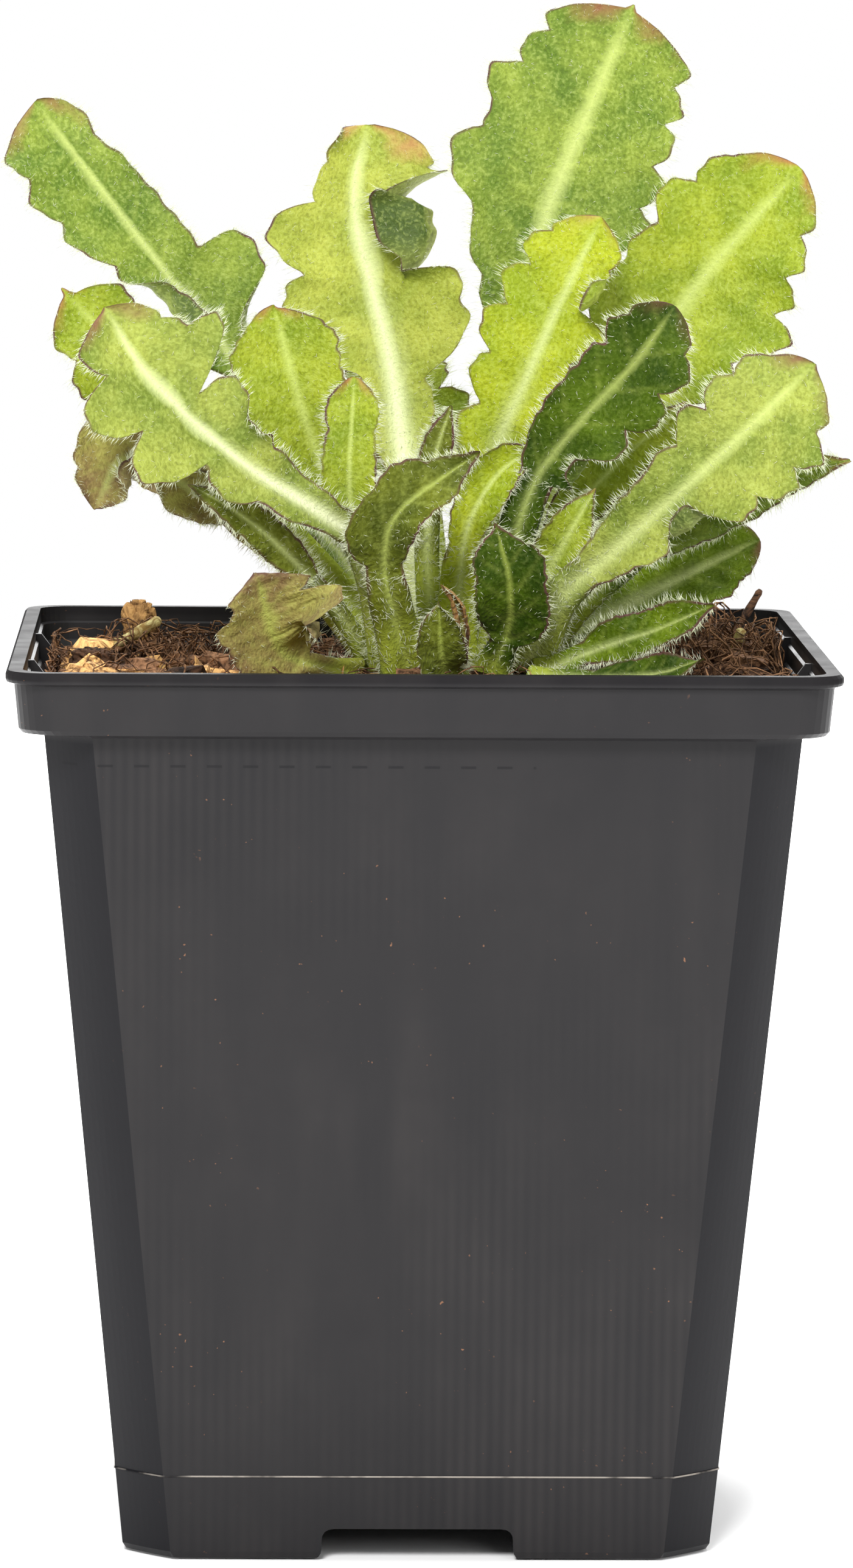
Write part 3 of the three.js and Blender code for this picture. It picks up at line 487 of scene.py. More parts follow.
# routes run from crown to tip, in millimetres; a lobe is (place along the leaf, reach from the midrib);
# a curl is (side, place, span, turn, start), where the blade beyond start folds over towards its upper side
leaves = {
    "leaf_far_left": {
        "route": [(-1, 4, 96.8), (-5, 7, 107), (-12.5, 11, 119), (-21.5, 14, 130), (-30.5, 17, 141.3),
                  (-43.5, 20, 158)],
        "blade": 0.5, "wide": 5, "hair": 1.3, "facing": (0.1, -1, 0.3), "stalk": 1.3, "lobe": 0.07,
        "left": [(0.57, 6.5), (0.68, 5.4), (0.77, 7.8), (0.85, 8.6), (0.93, 8)],
        "right": [(0.515, 6), (0.595, 10.4), (0.7, 4.8), (0.8, 4.2), (0.87, 3.6), (0.94, 3.8)],
        "curls": [("left", 0.59, 0.07, 2.7, 0.3), ("right", 0.5, 0.045, 1.5, 0.3)],
    },
    "leaf_tall_pale": {
        "route": [(1, 7, 96.8), (0.5, 12, 108), (-1.5, 17, 119), (-3, 20, 129.5), (-7, 24, 146),
                  (-5.5, 27, 155.5)],
        "blade": 0.36, "wide": 4.6, "colour": "paleGreen", "midrib": 1.7, "pale": 1.0, "veins": 6,
        "stalk": 2.3, "tip": 4,
        "left": [(0.43, 4.8), (0.585, 11.6), (0.645, 11.2), (0.765, 11), (0.85, 4.8), (0.95, 4.4)],
        "right": [(0.44, 4.6), (0.57, 10.2), (0.61, 10.4), (0.745, 17), (0.865, 11.4), (0.95, 9)],
        "curls": [("right", 0.745, 0.08, 2.9, 0.5), ("left", 0.95, 0.03, 1.2, 0.4)],
    },
    "leaf_tall_right": {
        "route": [(6, 6, 96.8), (7.5, 9, 114.5), (10.5, 12, 129.5), (14.5, 14, 145), (19, 15, 156.5),
                  (24.4, 14, 169.5)],
        "blade": 0.5, "wide": 9.5, "veins": 8, "midrib": 0.65, "facing": (-0.1, -1, 0.25), "lobe": 0.06,
        "tip": 6, "cup": 0.15, "ruffle": 0.4,
        "left": [(0.53, 5.4), (0.585, 8), (0.672, 13.2), (0.74, 11), (0.79, 12.4), (0.865, 10),
                  (0.93, 8.6)],
        "right": [(0.56, 10.5), (0.64, 12.8), (0.715, 12.6), (0.79, 11.6), (0.86, 10.8), (0.93, 9.8)],
    },
    "leaf_right_broad": {
        "route": [(9.5, 2.5, 96.2), (14, 4, 111), (21, 6, 124), (27, 7, 132), (33, 8, 140),
                  (43, 7, 151.4)],
        "blade": 0.42, "wide": 9, "colour": "yellowGreen", "facing": (0.1, -1, 0.3), "lobe": 0.07,
        "tip": 6, "pale": 0.2, "ruffle": 0.6,
        "left": [(0.5, 7.4), (0.59, 10), (0.69, 9.4), (0.79, 10.6), (0.88, 8.8), (0.95, 6.8)],
        "right": [(0.5, 6.5), (0.58, 10.6), (0.68, 13.4), (0.765, 10.6), (0.85, 8.6), (0.94, 6.4)],
    },
    "leaf_centre_yellow": {
        "route": [(6, 1, 96.8), (7, 0.5, 108), (8.5, 0, 119), (12.5, -1, 129), (16, -1, 137),
                  (20.3, -2, 146)],
        "wide": 4.6, "colour": "limeGreen", "veins": 6, "facing": (-0.15, -1, 0.2), "stalk": 1.8,
        "lobe": 0.065, "tip": 6, "midrib": 1.2, "pale": 0.4,
        "left": [(0.46, 5.4), (0.57, 6.4), (0.67, 7.6), (0.77, 7.4), (0.87, 6.6), (0.95, 5)],
        "right": [(0.48, 5), (0.6, 7), (0.72, 7.4), (0.84, 6.6), (0.94, 5)],
        "curls": [("right", 0.82, 0.06, 2.2, 0.5)],
    },
    "leaf_dark_right": {
        "route": [(9.5, -3, 96.5), (10.2, -6, 107.5), (12.8, -8, 116.8), (18, -10, 124),
                  (23.8, -11, 130.5), (28, -11, 136.6)],
        "blade": 0.44, "wide": 4.8, "colour": "darkGreen", "stalk": 2.2, "midrib": 0.65, "pale": 0.1,
        "hair": 1.4, "tip": 6, "lobe": 0.07, "veins": 5,
        "left": [(0.64, 4.8), (0.75, 5.2), (0.86, 5.4), (0.95, 4.6)],
        "right": [(0.53, 6.5), (0.63, 6.4), (0.74, 7.4), (0.85, 6.6), (0.94, 5)],
        "curls": [("right", 0.53, 0.05, 2.2, 0.5)],
    },
    "leaf_right_grey": {
        "route": [(12.5, -6, 95.6), (15.5, -12, 104), (21.2, -17, 109.8), (29.7, -21, 118),
                  (37, -24, 125.4), (42.6, -25, 131)],
        "blade": 0.28, "wide": 4.2, "colour": "greyGreen", "stalk": 2.1, "midrib": 1.3, "hair": 1.5,
        "pale": 0.3, "tip": 7, "lobe": 0.065,
        "left": [(0.5, 3.8), (0.6, 5), (0.7, 6.8), (0.8, 6.8), (0.89, 6.4), (0.95, 5)],
        "right": [(0.46, 4.6), (0.56, 7), (0.66, 8), (0.75, 9.4), (0.84, 9.2), (0.93, 7)],
        "curls": [("right", 0.55, 0.05, 2.4, 0.45)],
    },
    "leaf_far_right": {
        "route": [(13, -2, 95.6), (18.5, -7, 103.4), (26.5, -11, 110.4), (33.5, -14, 114.8),
                  (40.5, -17, 118.2), (46.9, -20, 120.2)],
        "blade": 0.42, "wide": 4.6, "fold": 0.6, "cup": 0.3, "hair": 1.5, "tip": 6,
    },
    "leaf_right_narrow": {
        "route": [(11.5, 1, 95.8), (15, 0.5, 108.5), (20, -0.5, 116), (30, -1.5, 125.5)],
        "blade": 0.35, "wide": 3.2, "colour": "yellowGreen", "left": [(0.55, 3.4), (0.8, 3.6)],
        "right": [(0.66, 3.6), (0.88, 4)], "hair": 1.3,
    },
    "leaf_right_pale": {
        "route": [(10.5, -6, 96.1), (12.8, -8.5, 104), (15.8, -11, 110), (19.4, -12.4, 116.4)],
        "blade": 0.35, "wide": 3.2, "colour": "yellowGreen", "hair": 1.8, "cup": 0.6, "midrib": 1.0,
    },
    "leaf_right_round": {
        "route": [(14, 0.5, 94.9), (18.5, -2, 99.8), (27.5, -5, 105), (38, -7, 110.4)],
        "blade": 0.28, "wide": 4.8, "colour": "deepGreen", "midrib": 1.2, "pale": 0.5,
        "facing": (0, -0.8, 0.6), "tip": 6, "left": [(0.6, 5.4), (0.8, 5.8), (0.92, 5)],
        "right": [(0.6, 5.4), (0.76, 6.6), (0.9, 5.6)], "lobe": 0.14,
    },
    "leaf_right_low": {
        "route": [(13.5, -9, 95.2), (20, -13, 98.7), (26, -16, 101), (32.3, -18, 104)],
        "blade": 0.25, "wide": 2.9, "colour": "deepGreen", "hair": 2.0, "facing": (0.1, -0.9, 0.5),
        "tip": 4,
    },
    "leaf_right_soil": {
        "route": [(12, -12.5, 94.9), (19, -17, 95.6), (26, -21, 96.6), (31, -23, 98.4)],
        "blade": 0.3, "wide": 2.4, "colour": "darkGreen", "facing": (0, -0.7, 0.7), "tip": 4,
    },
    "leaf_left_round": {
        "route": [(-0.5, -1, 96.6), (-6, -1, 108), (-11, -2, 118.5), (-14, -2, 127.5), (-16.3, -1, 136)],
        "blade": 0.42, "wide": 6, "colour": "yellowGreen", "veins": 6, "facing": (0.1, -1, 0.2),
        "left": [(0.6, 6.6), (0.72, 7.6), (0.83, 7.2), (0.92, 5.6)], "right": [(0.7, 6), (0.84, 6.2)],
        "lobe": 0.15, "ruffle": 0.2, "tip": 7, "pale": 0.1,
    },
    "leaf_left_behind": {
        "route": [(-2.5, -3, 96.3), (-9.5, -4, 105.5), (-17.5, -5, 114), (-25, -6, 121.5),
                  (-32, -7, 129.5), (-39.8, -8, 138)],
        "blade": 0.45, "wide": 4, "colour": "yellowGreen", "tip": 6, "pale": 0.1,
        "left": [(0.65, 5.4), (0.8, 7.4), (0.91, 5.6)], "right": [(0.72, 5), (0.9, 5.4)],
    },
    "leaf_left_lobed": {
        "route": [(-2.6, -6.5, 96.3), (-6.2, -12, 109.4), (-10.2, -15, 113.2), (-20, -19, 119.7),
                  (-29.8, -22, 128.8), (-34.8, -23, 136.6)],
        "blade": 0.3, "wide": 3.2, "colour": "greyGreen", "midrib": 1.1, "pale": 1.0, "veins": 6,
        "stalk": 2.0, "hair": 1.6, "tip": 4, "lobe": 0.065,
        "left": [(0.45, 3.2), (0.57, 5), (0.7, 9.8), (0.82, 9.6), (0.93, 5.6)],
        "right": [(0.52, 3.6), (0.6, 5.6), (0.67, 7), (0.8, 10.5), (0.87, 7), (0.94, 5)],
        "curls": [("right", 0.6, 0.04, 1.6, 0.55)],
    },
    "leaf_left_curled": {
        "route": [(-4.5, 0.5, 96), (-12, -1, 104.8), (-19, -7, 111), (-25, -11, 115.6),
                  (-32.4, -14, 119.4), (-36, -16, 114)],
        "blade": 0.55, "wide": 5, "colour": "purpleGreen", "cup": 0.9, "ruffle": 0.9, "stalk": 1.4,
        "hair": 1.2, "left": [(0.68, 5), (0.8, 7), (0.92, 6)],
        "right": [(0.72, 5.5), (0.86, 7), (0.95, 5)],
        "curls": [("left", 0.84, 0.1, 1.6, 0.3), ("right", 0.7, 0.06, 1.5, 0.5)],
    },
    "leaf_left_under": {
        "route": [(-4.8, -4, 95.9), (-9.5, -9, 103), (-14.5, -13, 108.8), (-19.5, -16, 113.2),
                  (-25.5, -18, 117)],
        "wide": 2.3, "colour": "sageGreen", "hair": 2.0, "stalk": 1.1, "tip": 4,
    },
    "leaf_small_oval": {
        "route": [(0.5, -5, 96.6), (-4.5, -8.5, 107), (-7.7, -10.5, 114.5), (-7.4, -10, 128.5)],
        "blade": 0.42, "wide": 3.3, "colour": "yellowGreen", "hair": 1.6, "ruffle": 0.12, "veins": 5,
        "tip": 4.5, "left": [(0.72, 3.3), (0.88, 3.2)], "right": [(0.7, 3.3), (0.88, 3.2)], "lobe": 0.14,
        "pale": 0.15,
    },
    "leaf_inner_bright": {
        "route": [(4, -2.5, 96.8), (4.6, -4.5, 105), (5.6, -5.8, 112), (9.2, -6.5, 118),
                  (14, -6.5, 120.6)],
        "blade": 0.42, "wide": 3.6, "colour": "limeGreen", "cup": 0.9, "hair": 1.5, "stalk": 2.2,
    },
    "leaf_inner_tip": {
        "route": [(2, -0.5, 96.8), (1, -2, 108), (1.6, -3, 118), (3.6, -3, 125)],
        "blade": 0.6, "wide": 1.9, "colour": "sageGreen", "hair": 1.8, "stalk": 1.4, "tip": 4,
    },
    "leaf_front_folded": {
        "route": [(-1, -10, 95.6), (-3, -13.5, 102.5), (-4, -16.5, 109), (-2.2, -18.5, 114.4),
                  (6.4, -18.5, 120.8)],
        "blade": 0.36, "wide": 3.4, "colour": "sageGreen", "stalk": 2.4, "hair": 1.8, "fold": 0.35,
        "midrib": 0.7, "left": [(0.55, 5), (0.7, 4.6)], "right": [(0.6, 3.6), (0.78, 3.2)], "lobe": 0.12,
        "pale": 0.05, "tip": 7,
    },
    "leaf_front_curled": {
        "route": [(3.5, -11.5, 95), (2.4, -15, 98), (2, -16.5, 104)],
        "blade": 0.1, "wide": 3.6, "colour": "sageGreen", "cup": 0.9, "hair": 2.2, "tip": 4, "pale": 0.0,
    },
    "leaf_front_oval": {
        "route": [(8, -9.5, 95.8), (9.7, -13, 100.5), (9.8, -15.5, 106), (8.2, -16, 112.8)],
        "blade": 0.22, "wide": 4.4, "colour": "darkGreen", "stalk": 1.7, "hair": 1.6, "ruffle": 0.15,
        "fold": 0.3, "tip": 6, "left": [(0.55, 4.4), (0.75, 4.2)], "right": [(0.45, 4.8), (0.66, 4.6)],
        "lobe": 0.2, "veins": 5, "pale": 0.0,
    },
    "leaf_withered": {
        "route": [(4.2, -10.6, 95.6), (4.8, -13.6, 99.5), (4, -15.4, 103.6), (2.2, -16.8, 106)],
        "blade": 0.3, "wide": 1.5, "colour": "straw", "cup": 2.2, "hair": 0.4, "stalk": 0.7,
        "curls": [("left", 0.7, 0.2, 1.2, 0.3)], "pale": 0.0,
    },
    "leaf_old_mottled": {
        "route": [(-6.5, -6, 95.2), (-11, -12, 96.6), (-15.5, -17, 98.8), (-18.2, -21, 107.4)],
        "blade": 0.42, "wide": 6.4, "colour": "purpleGreen", "facing": (0.2, -1, 0.1), "cup": 0.35,
        "ruffle": 0.7, "left": [(0.6, 6), (0.76, 7.4), (0.92, 5.6)],
        "right": [(0.5, 8), (0.64, 10.5), (0.78, 11), (0.92, 7)],
        "curls": [("right", 0.6, 0.2, 1.5, 0.35)], "hair": 0.5, "quilt": 0.5, "pale": 0.0, "stalk": 1.2,
    },
    "leaf_back_left": {
        "route": [(-3, 6, 96), (-8, 15, 106), (-16, 25, 113), (-26, 37, 117)],
        "wide": 4.4, "facing": (-0.1, -0.5, 1), "lobe": 0.09,
        "left": [(0.56, 6.6), (0.7, 7.6), (0.84, 7)], "right": [(0.62, 7), (0.77, 7.6), (0.9, 6)],
    },
    "leaf_back_middle": {
        "route": [(2.5, 9, 96), (2, 19, 109), (0, 29, 120), (-4, 39, 129)],
        "wide": 4.4, "facing": (0, -0.8, 1), "lobe": 0.09, "colour": "yellowGreen",
        "left": [(0.58, 6.8), (0.74, 7.4), (0.89, 6)], "right": [(0.54, 6.2), (0.68, 7.4), (0.83, 6.8)],
    },
    "leaf_back_right": {
        "route": [(9, 8, 95.6), (15, 17, 106), (23, 26, 114), (32, 38, 120)],
        "wide": 4.4, "facing": (0.15, -0.5, 1), "lobe": 0.09, "colour": "greyGreen",
        "left": [(0.56, 6.4), (0.7, 7.6), (0.85, 6.6)], "right": [(0.62, 7), (0.77, 7.2), (0.9, 5.6)],
    },
    "leaf_back_low": {
        "route": [(6.5, 10, 95.3), (8.5, 20, 101), (11, 29, 105.5), (13, 39, 107)],
        "blade": 0.35, "wide": 4.4, "facing": (0, -0.3, 1), "tip": 6, "colour": "deepGreen",
    },
}

hairCount = 0
for number, (node, own) in enumerate(leaves.items()):
    first, *others = node.split("_")
    hairCount += makeLeaf(first + "".join(word.title() for word in others), node, own, 40 + 7 * number)
print("leaves made:", len(leaves), "with hairs:", hairCount)


# pot
potLook = {
    # of these colours the corner one is painted shade on the chamfers and ribs, the pale one a painted
    # highlight on the parting line and the last painted shade in the slots
    "light": (42, 40, 40), "dark": (31, 30, 31), "corner": (19, 19, 22), "dirt": (112, 80, 60),
    "partingHighlight": (176, 168, 158), "dash": (16, 16, 18),
    "flatHalf": 26.95 * mm, "taper": 0.0954,  # half the flat of a wall at the floor, and its gain with height
    "ribPitch": 1.25 * mm, "bandFoot": 90.5 * mm, "lipTop": 97.2 * mm, "partingHeight": 9.5 * mm,
    "dashHeight": 88.2 * mm, "dashPitch": 3.9 * mm, "dashEnd": 12 * mm,
}


def potMaterial():
    # charcoal plastic: cloudy patches, fine upright ribs below the band as bump and painted shade,
    # painted shade on the corner chamfers, a broken row of slots painted dark as their shade
    # and a thin parting line painted pale as its highlight
    material, tree, shader = newMaterial("potPlastic", 0.4, specular=0.16)
    place = addNode(tree, "ShaderNodeTexCoord").outputs["Object"]
    parts = addNode(tree, "ShaderNodeSeparateXYZ", {"Vector": place})
    x, y, z = (parts.outputs[axis] for axis in "XYZ")
    stretched = addNode(tree, "ShaderNodeMapping", {"Vector": place, "Scale": (1, 1, 0.16)}).outputs[0]
    streaks = addNode(tree, "ShaderNodeTexNoise", {"Vector": stretched, "Scale": 180.0, "Detail": 4.0})
    streaks = streaks.outputs["Fac"]
    patches = remap(tree, noise(tree, 40, 5, 0.6), 0.3, 0.7)
    cloud = times(tree, patches, remap(tree, streaks, 0.3, 0.65))
    base = mixColour(tree, cloud, colour(*potLook["dark"]), colour(*potLook["light"]))
    specks = remap(tree, noise(tree, 1900, 1, 0.5), 0.76, 0.79)
    dirty = times(tree, specks, remap(tree, noise(tree, 60, 3), 0.5, 0.6))
    base = mixColour(tree, dirty, base, colour(*potLook["dirt"]))
    below = remap(tree, z, potLook["bandFoot"], potLook["bandFoot"] + mm, 1.0, 0.0)
    flatHalf = addNode(tree, "ShaderNodeMath", {0: z, 1: potLook["taper"], 2: potLook["flatHalf"]},
                       operation="MULTIPLY_ADD").outputs[0]
    turn = 2 * math.pi / potLook["ribPitch"]
    waves, insides = [], []
    for axis in (x, y):
        inside = maths(tree, "LESS_THAN", maths(tree, "ABSOLUTE", axis), flatHalf)
        insides.append(inside)
        wave = maths(tree, "SINE", times(tree, axis, turn))
        waves.append(times(tree, wave, inside))
    # painted shade: the corner chamfers below the band are mixed far towards the dark colour
    corner = maths(tree, "SUBTRACT", 1.0, maths(tree, "MAXIMUM", *insides))
    corner = times(tree, corner, below)
    base = mixColour(tree, times(tree, corner, 0.85), base, colour(*potLook["corner"]))
    # the ribs are a bump and also painted shade: their wave darkens the colour along them
    ribReliefAndShade = times(tree, maths(tree, "ADD", *waves), below)
    ribReliefAndShade = times(tree, ribReliefAndShade, remap(tree, noise(tree, 22, 2), 0.42, 0.62))
    base = mixColour(tree, remap(tree, ribReliefAndShade, -1.0, 1.0, 0.0, 0.34), base, colour(*potLook["corner"]))
    # painted highlight: a thin pale line along the parting line, broken by noise
    partingBand = maths(tree, "COMPARE", z, potLook["partingHeight"])
    partingBand.node.inputs[2].default_value = 0.09 * mm
    broken = remap(tree, noise(tree, 220, 3), 0.4, 0.55)
    partingHighlight = times(tree, partingBand, broken)
    base = mixColour(tree, times(tree, partingHighlight, 0.6), base, colour(*potLook["partingHighlight"]))
    # painted shade: a broken row of dark slots below the band
    dashRow = maths(tree, "COMPARE", z, potLook["dashHeight"])
    dashRow.node.inputs[2].default_value = 0.14 * mm
    dashPart = maths(tree, "FRACT", maths(tree, "DIVIDE", x, potLook["dashPitch"]))
    beforeEnd = maths(tree, "LESS_THAN", x, potLook["dashEnd"])
    dashOn = times(tree, maths(tree, "LESS_THAN", dashPart, 0.42), beforeEnd)
    dash = times(tree, dashRow, dashOn)
    base = mixColour(tree, times(tree, dash, 0.75), base, colour(*potLook["dash"]))
    tree.links.new(base, shader.inputs["Base Color"])
    tree.links.new(remap(tree, streaks, 0.3, 0.7, 0.32, 0.46), shader.inputs["Roughness"])
    matt = remap(tree, z, potLook["lipTop"], potLook["lipTop"] + 0.6 * mm, 1.0, 0.06)
    shine = times(tree, remap(tree, corner, 0.0, 1.0, 0.14, 0.085), matt)
    tree.links.new(shine, shader.inputs["Specular IOR Level"])
    first = bump(tree, None, ribReliefAndShade, 0.45, 0.06 * mm)
    bump(tree, shader, noise(tree, 1300, 2), 0.2, 0.06 * mm, first)
    return material


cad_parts["pot"].data.materials.clear()
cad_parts["pot"].data.materials.append(potMaterial())
print("pot finished")


# potting mix
def soilMaterial():
    material, tree, shader = newMaterial("pottingMix", 0.95, specular=0.12)
    clumps = remap(tree, noise(tree, 420, 4, 0.65), 0.38, 0.68)
    base = mixColour(tree, clumps, colour(30, 20, 15), colour(86, 60, 42))
    tree.links.new(base, shader.inputs["Base Color"])
    bump(tree, shader, noise(tree, 900, 5, 0.7), 0.9, 0.6 * mm)
    return material


def barkMaterial(name, dark, light):
    # fibrous grain between the two colours, and a lighter tone on the pieces whose tone attribute is high
    material, tree, shader = newMaterial(name, 0.85, specular=0.2)
    grain = noise(tree, 620, 5, 0.65, 1.5)
    base = mixColour(tree, remap(tree, grain, 0.38, 0.64), colour(*dark), colour(*light))
    paler = [min(255, int(part * 1.35) + 14) for part in light]
    paleGrain = times(tree, readAttribute(tree, "tone"), remap(tree, grain, 0.4, 0.6))
    base = mixColour(tree, paleGrain, base, colour(*paler))
    tree.links.new(base, shader.inputs["Base Color"])
    bump(tree, shader, grain, 0.9, 0.45 * mm)
    return material


# wall is (height, half width) down the side of the mix; a mound is (x, y, height, spread)
soil = {
    "level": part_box("potting_mix")[1].z / mm, "rise": 0.9, "rows": 80, "around": 180,
    "half": 42.2, "clear": 41.3, "reach": 41,
    "wall": [(92.6, 42.2), (91.9, 39.6), (60, 36.7), (30, 33.9), (5.4, 31.5)],
    "mounds": [(4, 0, 1.4, 260), (33, 12, 2.6, 90), (-31, 18, 1.6, 80)],
}


def roundedSquare(angle, half):
    # distance from the middle to the edge of a square with rounded corners: a superellipse of order 9
    order = 9.0
    return half / (np.abs(np.cos(angle)) ** order + np.abs(np.sin(angle)) ** order) ** (1 / order)


def soilHeight(x, y):
    # the level, slow and quick noise, and round mounds at the crown, back right and back left
    spots = np.stack([x, y, 0 * x], -1)
    mounds = 0 * x
    for middleX, middleY, height, spread in soil["mounds"]:
        mounds = mounds + height * np.exp(-((x - middleX) ** 2 + (y - middleY) ** 2) / spread)
    rough = 0.5 * noiseField(spots, 17, 5) + 0.35 * noiseField(spots, 5, 6) + 0.3 * noiseField(spots, 2, 7)
    edge = np.clip((soil["half"] - np.maximum(np.abs(x), np.abs(y))) / 5, 0, 1)
    return soil["level"] + soil["rise"] * rough + mounds * edge


def makePottingMix():
    # rings of a rounded square grow from the middle over the top, then go down the wall and in over the floor
    angle = np.arange(soil["around"]) / soil["around"] * 2 * np.pi
    rings = []
    for part in np.linspace(0.004, 1, soil["rows"]):
        reach = roundedSquare(angle, soil["half"] * part)
        x, y = reach * np.cos(angle), reach * np.sin(angle)
        rings.append(np.stack([x, y, soilHeight(x, y)], -1))
    for z, half in soil["wall"]:
        reach = roundedSquare(angle, half)
        rings.append(np.stack([reach * np.cos(angle), reach * np.sin(angle), 0 * reach + z], -1))
    rings.append(rings[-1] * [0.004, 0.004, 1])
    vertices, faces = closedRings(np.array(rings) * mm, flip=True)
    addPiece(makeObject("pottingMix", vertices, faces, soilMaterial()), "potting_mix", "potting_mix")


def crumbShape():
    # a rounded block: a 6 by 4 grid on a sphere, pushed towards a cube, with both poles closed
    rows, around = 4, 6
    tilt = np.linspace(0.5, math.pi - 0.5, rows)[:, None]
    turn = np.arange(around)[None, :] / around * 2 * np.pi
    ball = np.stack([np.sin(tilt) * np.cos(turn), np.sin(tilt) * np.sin(turn), np.cos(tilt) + 0 * turn], -1)
    block = np.sign(ball) * np.abs(ball) ** 0.7
    points = np.vstack([block.reshape(-1, 3), [[0, 0, 0.95], [0, 0, -0.95]]])
    quads = gridFaces(rows, around)[:, ::-1]
    k = np.arange(around)
    after = (k + 1) % around
    last = (rows - 1) * around
    top = np.stack([np.full(around, rows * around), k, after], 1)
    low = np.stack([np.full(around, rows * around + 1), last + after, last + k], 1)
    triangles = np.concatenate([quads[:, [0, 1, 2]], quads[:, [0, 2, 3]], top, low])
    return points, triangles


def turnMatrices(rng, count, tilt):
    # a free turn about Z after a tilt about a random level axis
    spin = rng.uniform(0, 2 * np.pi, count)
    lean = rng.normal(0, tilt, count)
    c, s, cl, sl = np.cos(spin), np.sin(spin), np.cos(lean), np.sin(lean)
    zero = 0 * c
    about = np.stack([np.stack([c, -s, zero], -1), np.stack([s, c, zero], -1),
                      np.stack([zero, zero, zero + 1], -1)], 1)
    over = np.stack([np.stack([zero + 1, zero, zero], -1), np.stack([zero, cl, -sl], -1),
                     np.stack([zero, sl, cl], -1)], 1)
    return about @ over


def makeCrumbs(name, count, sizes, material, seed, slotName, tone=0.5, tilt=0.6, centre=(0, 0), spread=0.0):
    # one block shape, roughened and scaled differently for each crumb, laid on the soil round the centre
    rng = np.random.default_rng(seed)
    shape, triangles = crumbShape()
    x = rng.uniform(-soil["reach"], soil["reach"], count)
    y = rng.uniform(-soil["reach"], soil["reach"], count)
    if spread > 0:
        x, y = centre[0] + rng.normal(0, spread, count), centre[1] + rng.normal(0, spread, count)
    long = sizes[0] + (sizes[1] - sizes[0]) * rng.uniform(0, 1, count) ** 2.2
    broad = long * rng.uniform(0.3, 0.7, count)
    flat = long * rng.uniform(0.12, 0.45, count)
    scale = np.stack([long, broad, flat], -1) / 2
    rough = 1 + rng.normal(0, 0.2, (count, len(shape), 1))
    blocks = shape[None] * rough * scale[:, None, :]
    blocks[..., 0] *= 1 + 0.5 * blocks[..., 1] / scale[:, None, 1] * rng.normal(0, 0.5, (count, 1))
    blocks = blocks @ np.transpose(turnMatrices(rng, count, tilt), (0, 2, 1))
    inside = soil["clear"] - 0.75 * long
    x, y = np.clip(x, -inside, inside), np.clip(y, -inside, inside)
    z = soilHeight(x, y) + scale[:, 2] * 0.4 + 0.25 * np.abs(blocks[..., 2]).max(axis=1)
    blocks = (blocks + np.stack([x, y, z], -1)[:, None, :]) * mm
    faces = (triangles[None] + len(shape) * np.arange(count)[:, None, None]).reshape(-1, 3)
    tones = np.repeat(np.clip(rng.normal(tone, 0.3, count), 0, 1), len(shape))
    piece = makeObject(name, blocks.reshape(-1, 3), faces.tolist(), material, {"tone": tones}, smooth=False)
    addPiece(piece, slotName)


def makeFibres(name, count, spans, radius, material, seed, centre, spread, lift):
    # thin roots: each starts on the soil, arches and wanders, and comes down again
    rng = np.random.default_rng(seed)
    steps = 10
    t = np.linspace(0, 1, steps)
    start = rng.normal(centre, spread, (count, 2))
    heading = rng.uniform(0, 2 * np.pi, count)[:, None] + rng.normal(0, 1.1, count)[:, None] * t
    span = rng.uniform(*spans, count)[:, None] / steps
    x = np.clip(start[:, :1] + np.cumsum(np.cos(heading) * span, axis=1), -soil["reach"], soil["reach"])
    y = np.clip(start[:, 1:] + np.cumsum(np.sin(heading) * span, axis=1), -soil["reach"], soil["reach"])
    wander = rng.normal(0, 0.25, (count, steps))
    z = soilHeight(x, y) + 0.3 + rng.uniform(0, lift, count)[:, None] * np.sin(np.pi * t) + np.abs(wander)
    paths = np.stack([x + wander, y, z], -1) * mm
    radii = np.full((count, steps), radius) * rng.uniform(0.6, 1.4, count)[:, None] * mm
    tone = np.clip(rng.normal(0.35, 0.3, count), 0, 1)
    addPiece(makeTubes(name, paths, radii, material, sides=4, tone=tone), "bark")


makePottingMix()
barkDark = barkMaterial("barkDark", (26, 17, 12), (74, 50, 34))
barkBrown = barkMaterial("barkBrown", (62, 42, 30), (124, 90, 64))
barkPale = barkMaterial("barkPale", (104, 72, 42), (186, 140, 88))
fibre = barkMaterial("rootFibre", (54, 36, 26), (116, 84, 58))
moss = barkMaterial("moss", (84, 78, 28), (150, 142, 62))
makeCrumbs("soilCrumbs", 3000, (0.6, 3.0), barkDark, 11, "potting_mix", 0.2, 0.7)
makeCrumbs("peatClods", 240, (2.0, 6.0), barkDark, 13, "potting_mix", 0.05)
makeCrumbs("barkCrumbs", 900, (0.8, 5.5), barkBrown, 12, "bark", 0.3, 0.7)
makeCrumbs("barkCrumbsFrontLeft", 520, (0.8, 6.5), barkPale, 16, "bark", 0.6, 0.8, (-27, -16), 12)
makeCrumbs("barkCrumbsBackRight", 260, (0.8, 5.5), barkBrown, 17, "bark", 0.2, 1.0, (33, 12), 6)
makeCrumbs("mossCrumbs", 260, (0.6, 2.4), moss, 18, "potting_mix", 0.5, 0.9, (-9, -22), 4)
makeFibres("rootFibres", 320, (4, 14), 0.08, fibre, 14, (0, 0), 24, 2.6)
makeFibres("rootFibresRight", 260, (4, 13), 0.09, fibre, 15, (32, 10), 6, 5.5)
makeFibres("rootFibresLeft", 150, (4, 12), 0.09, fibre, 19, (-29, 14), 7, 4.0)
print("potting mix made")


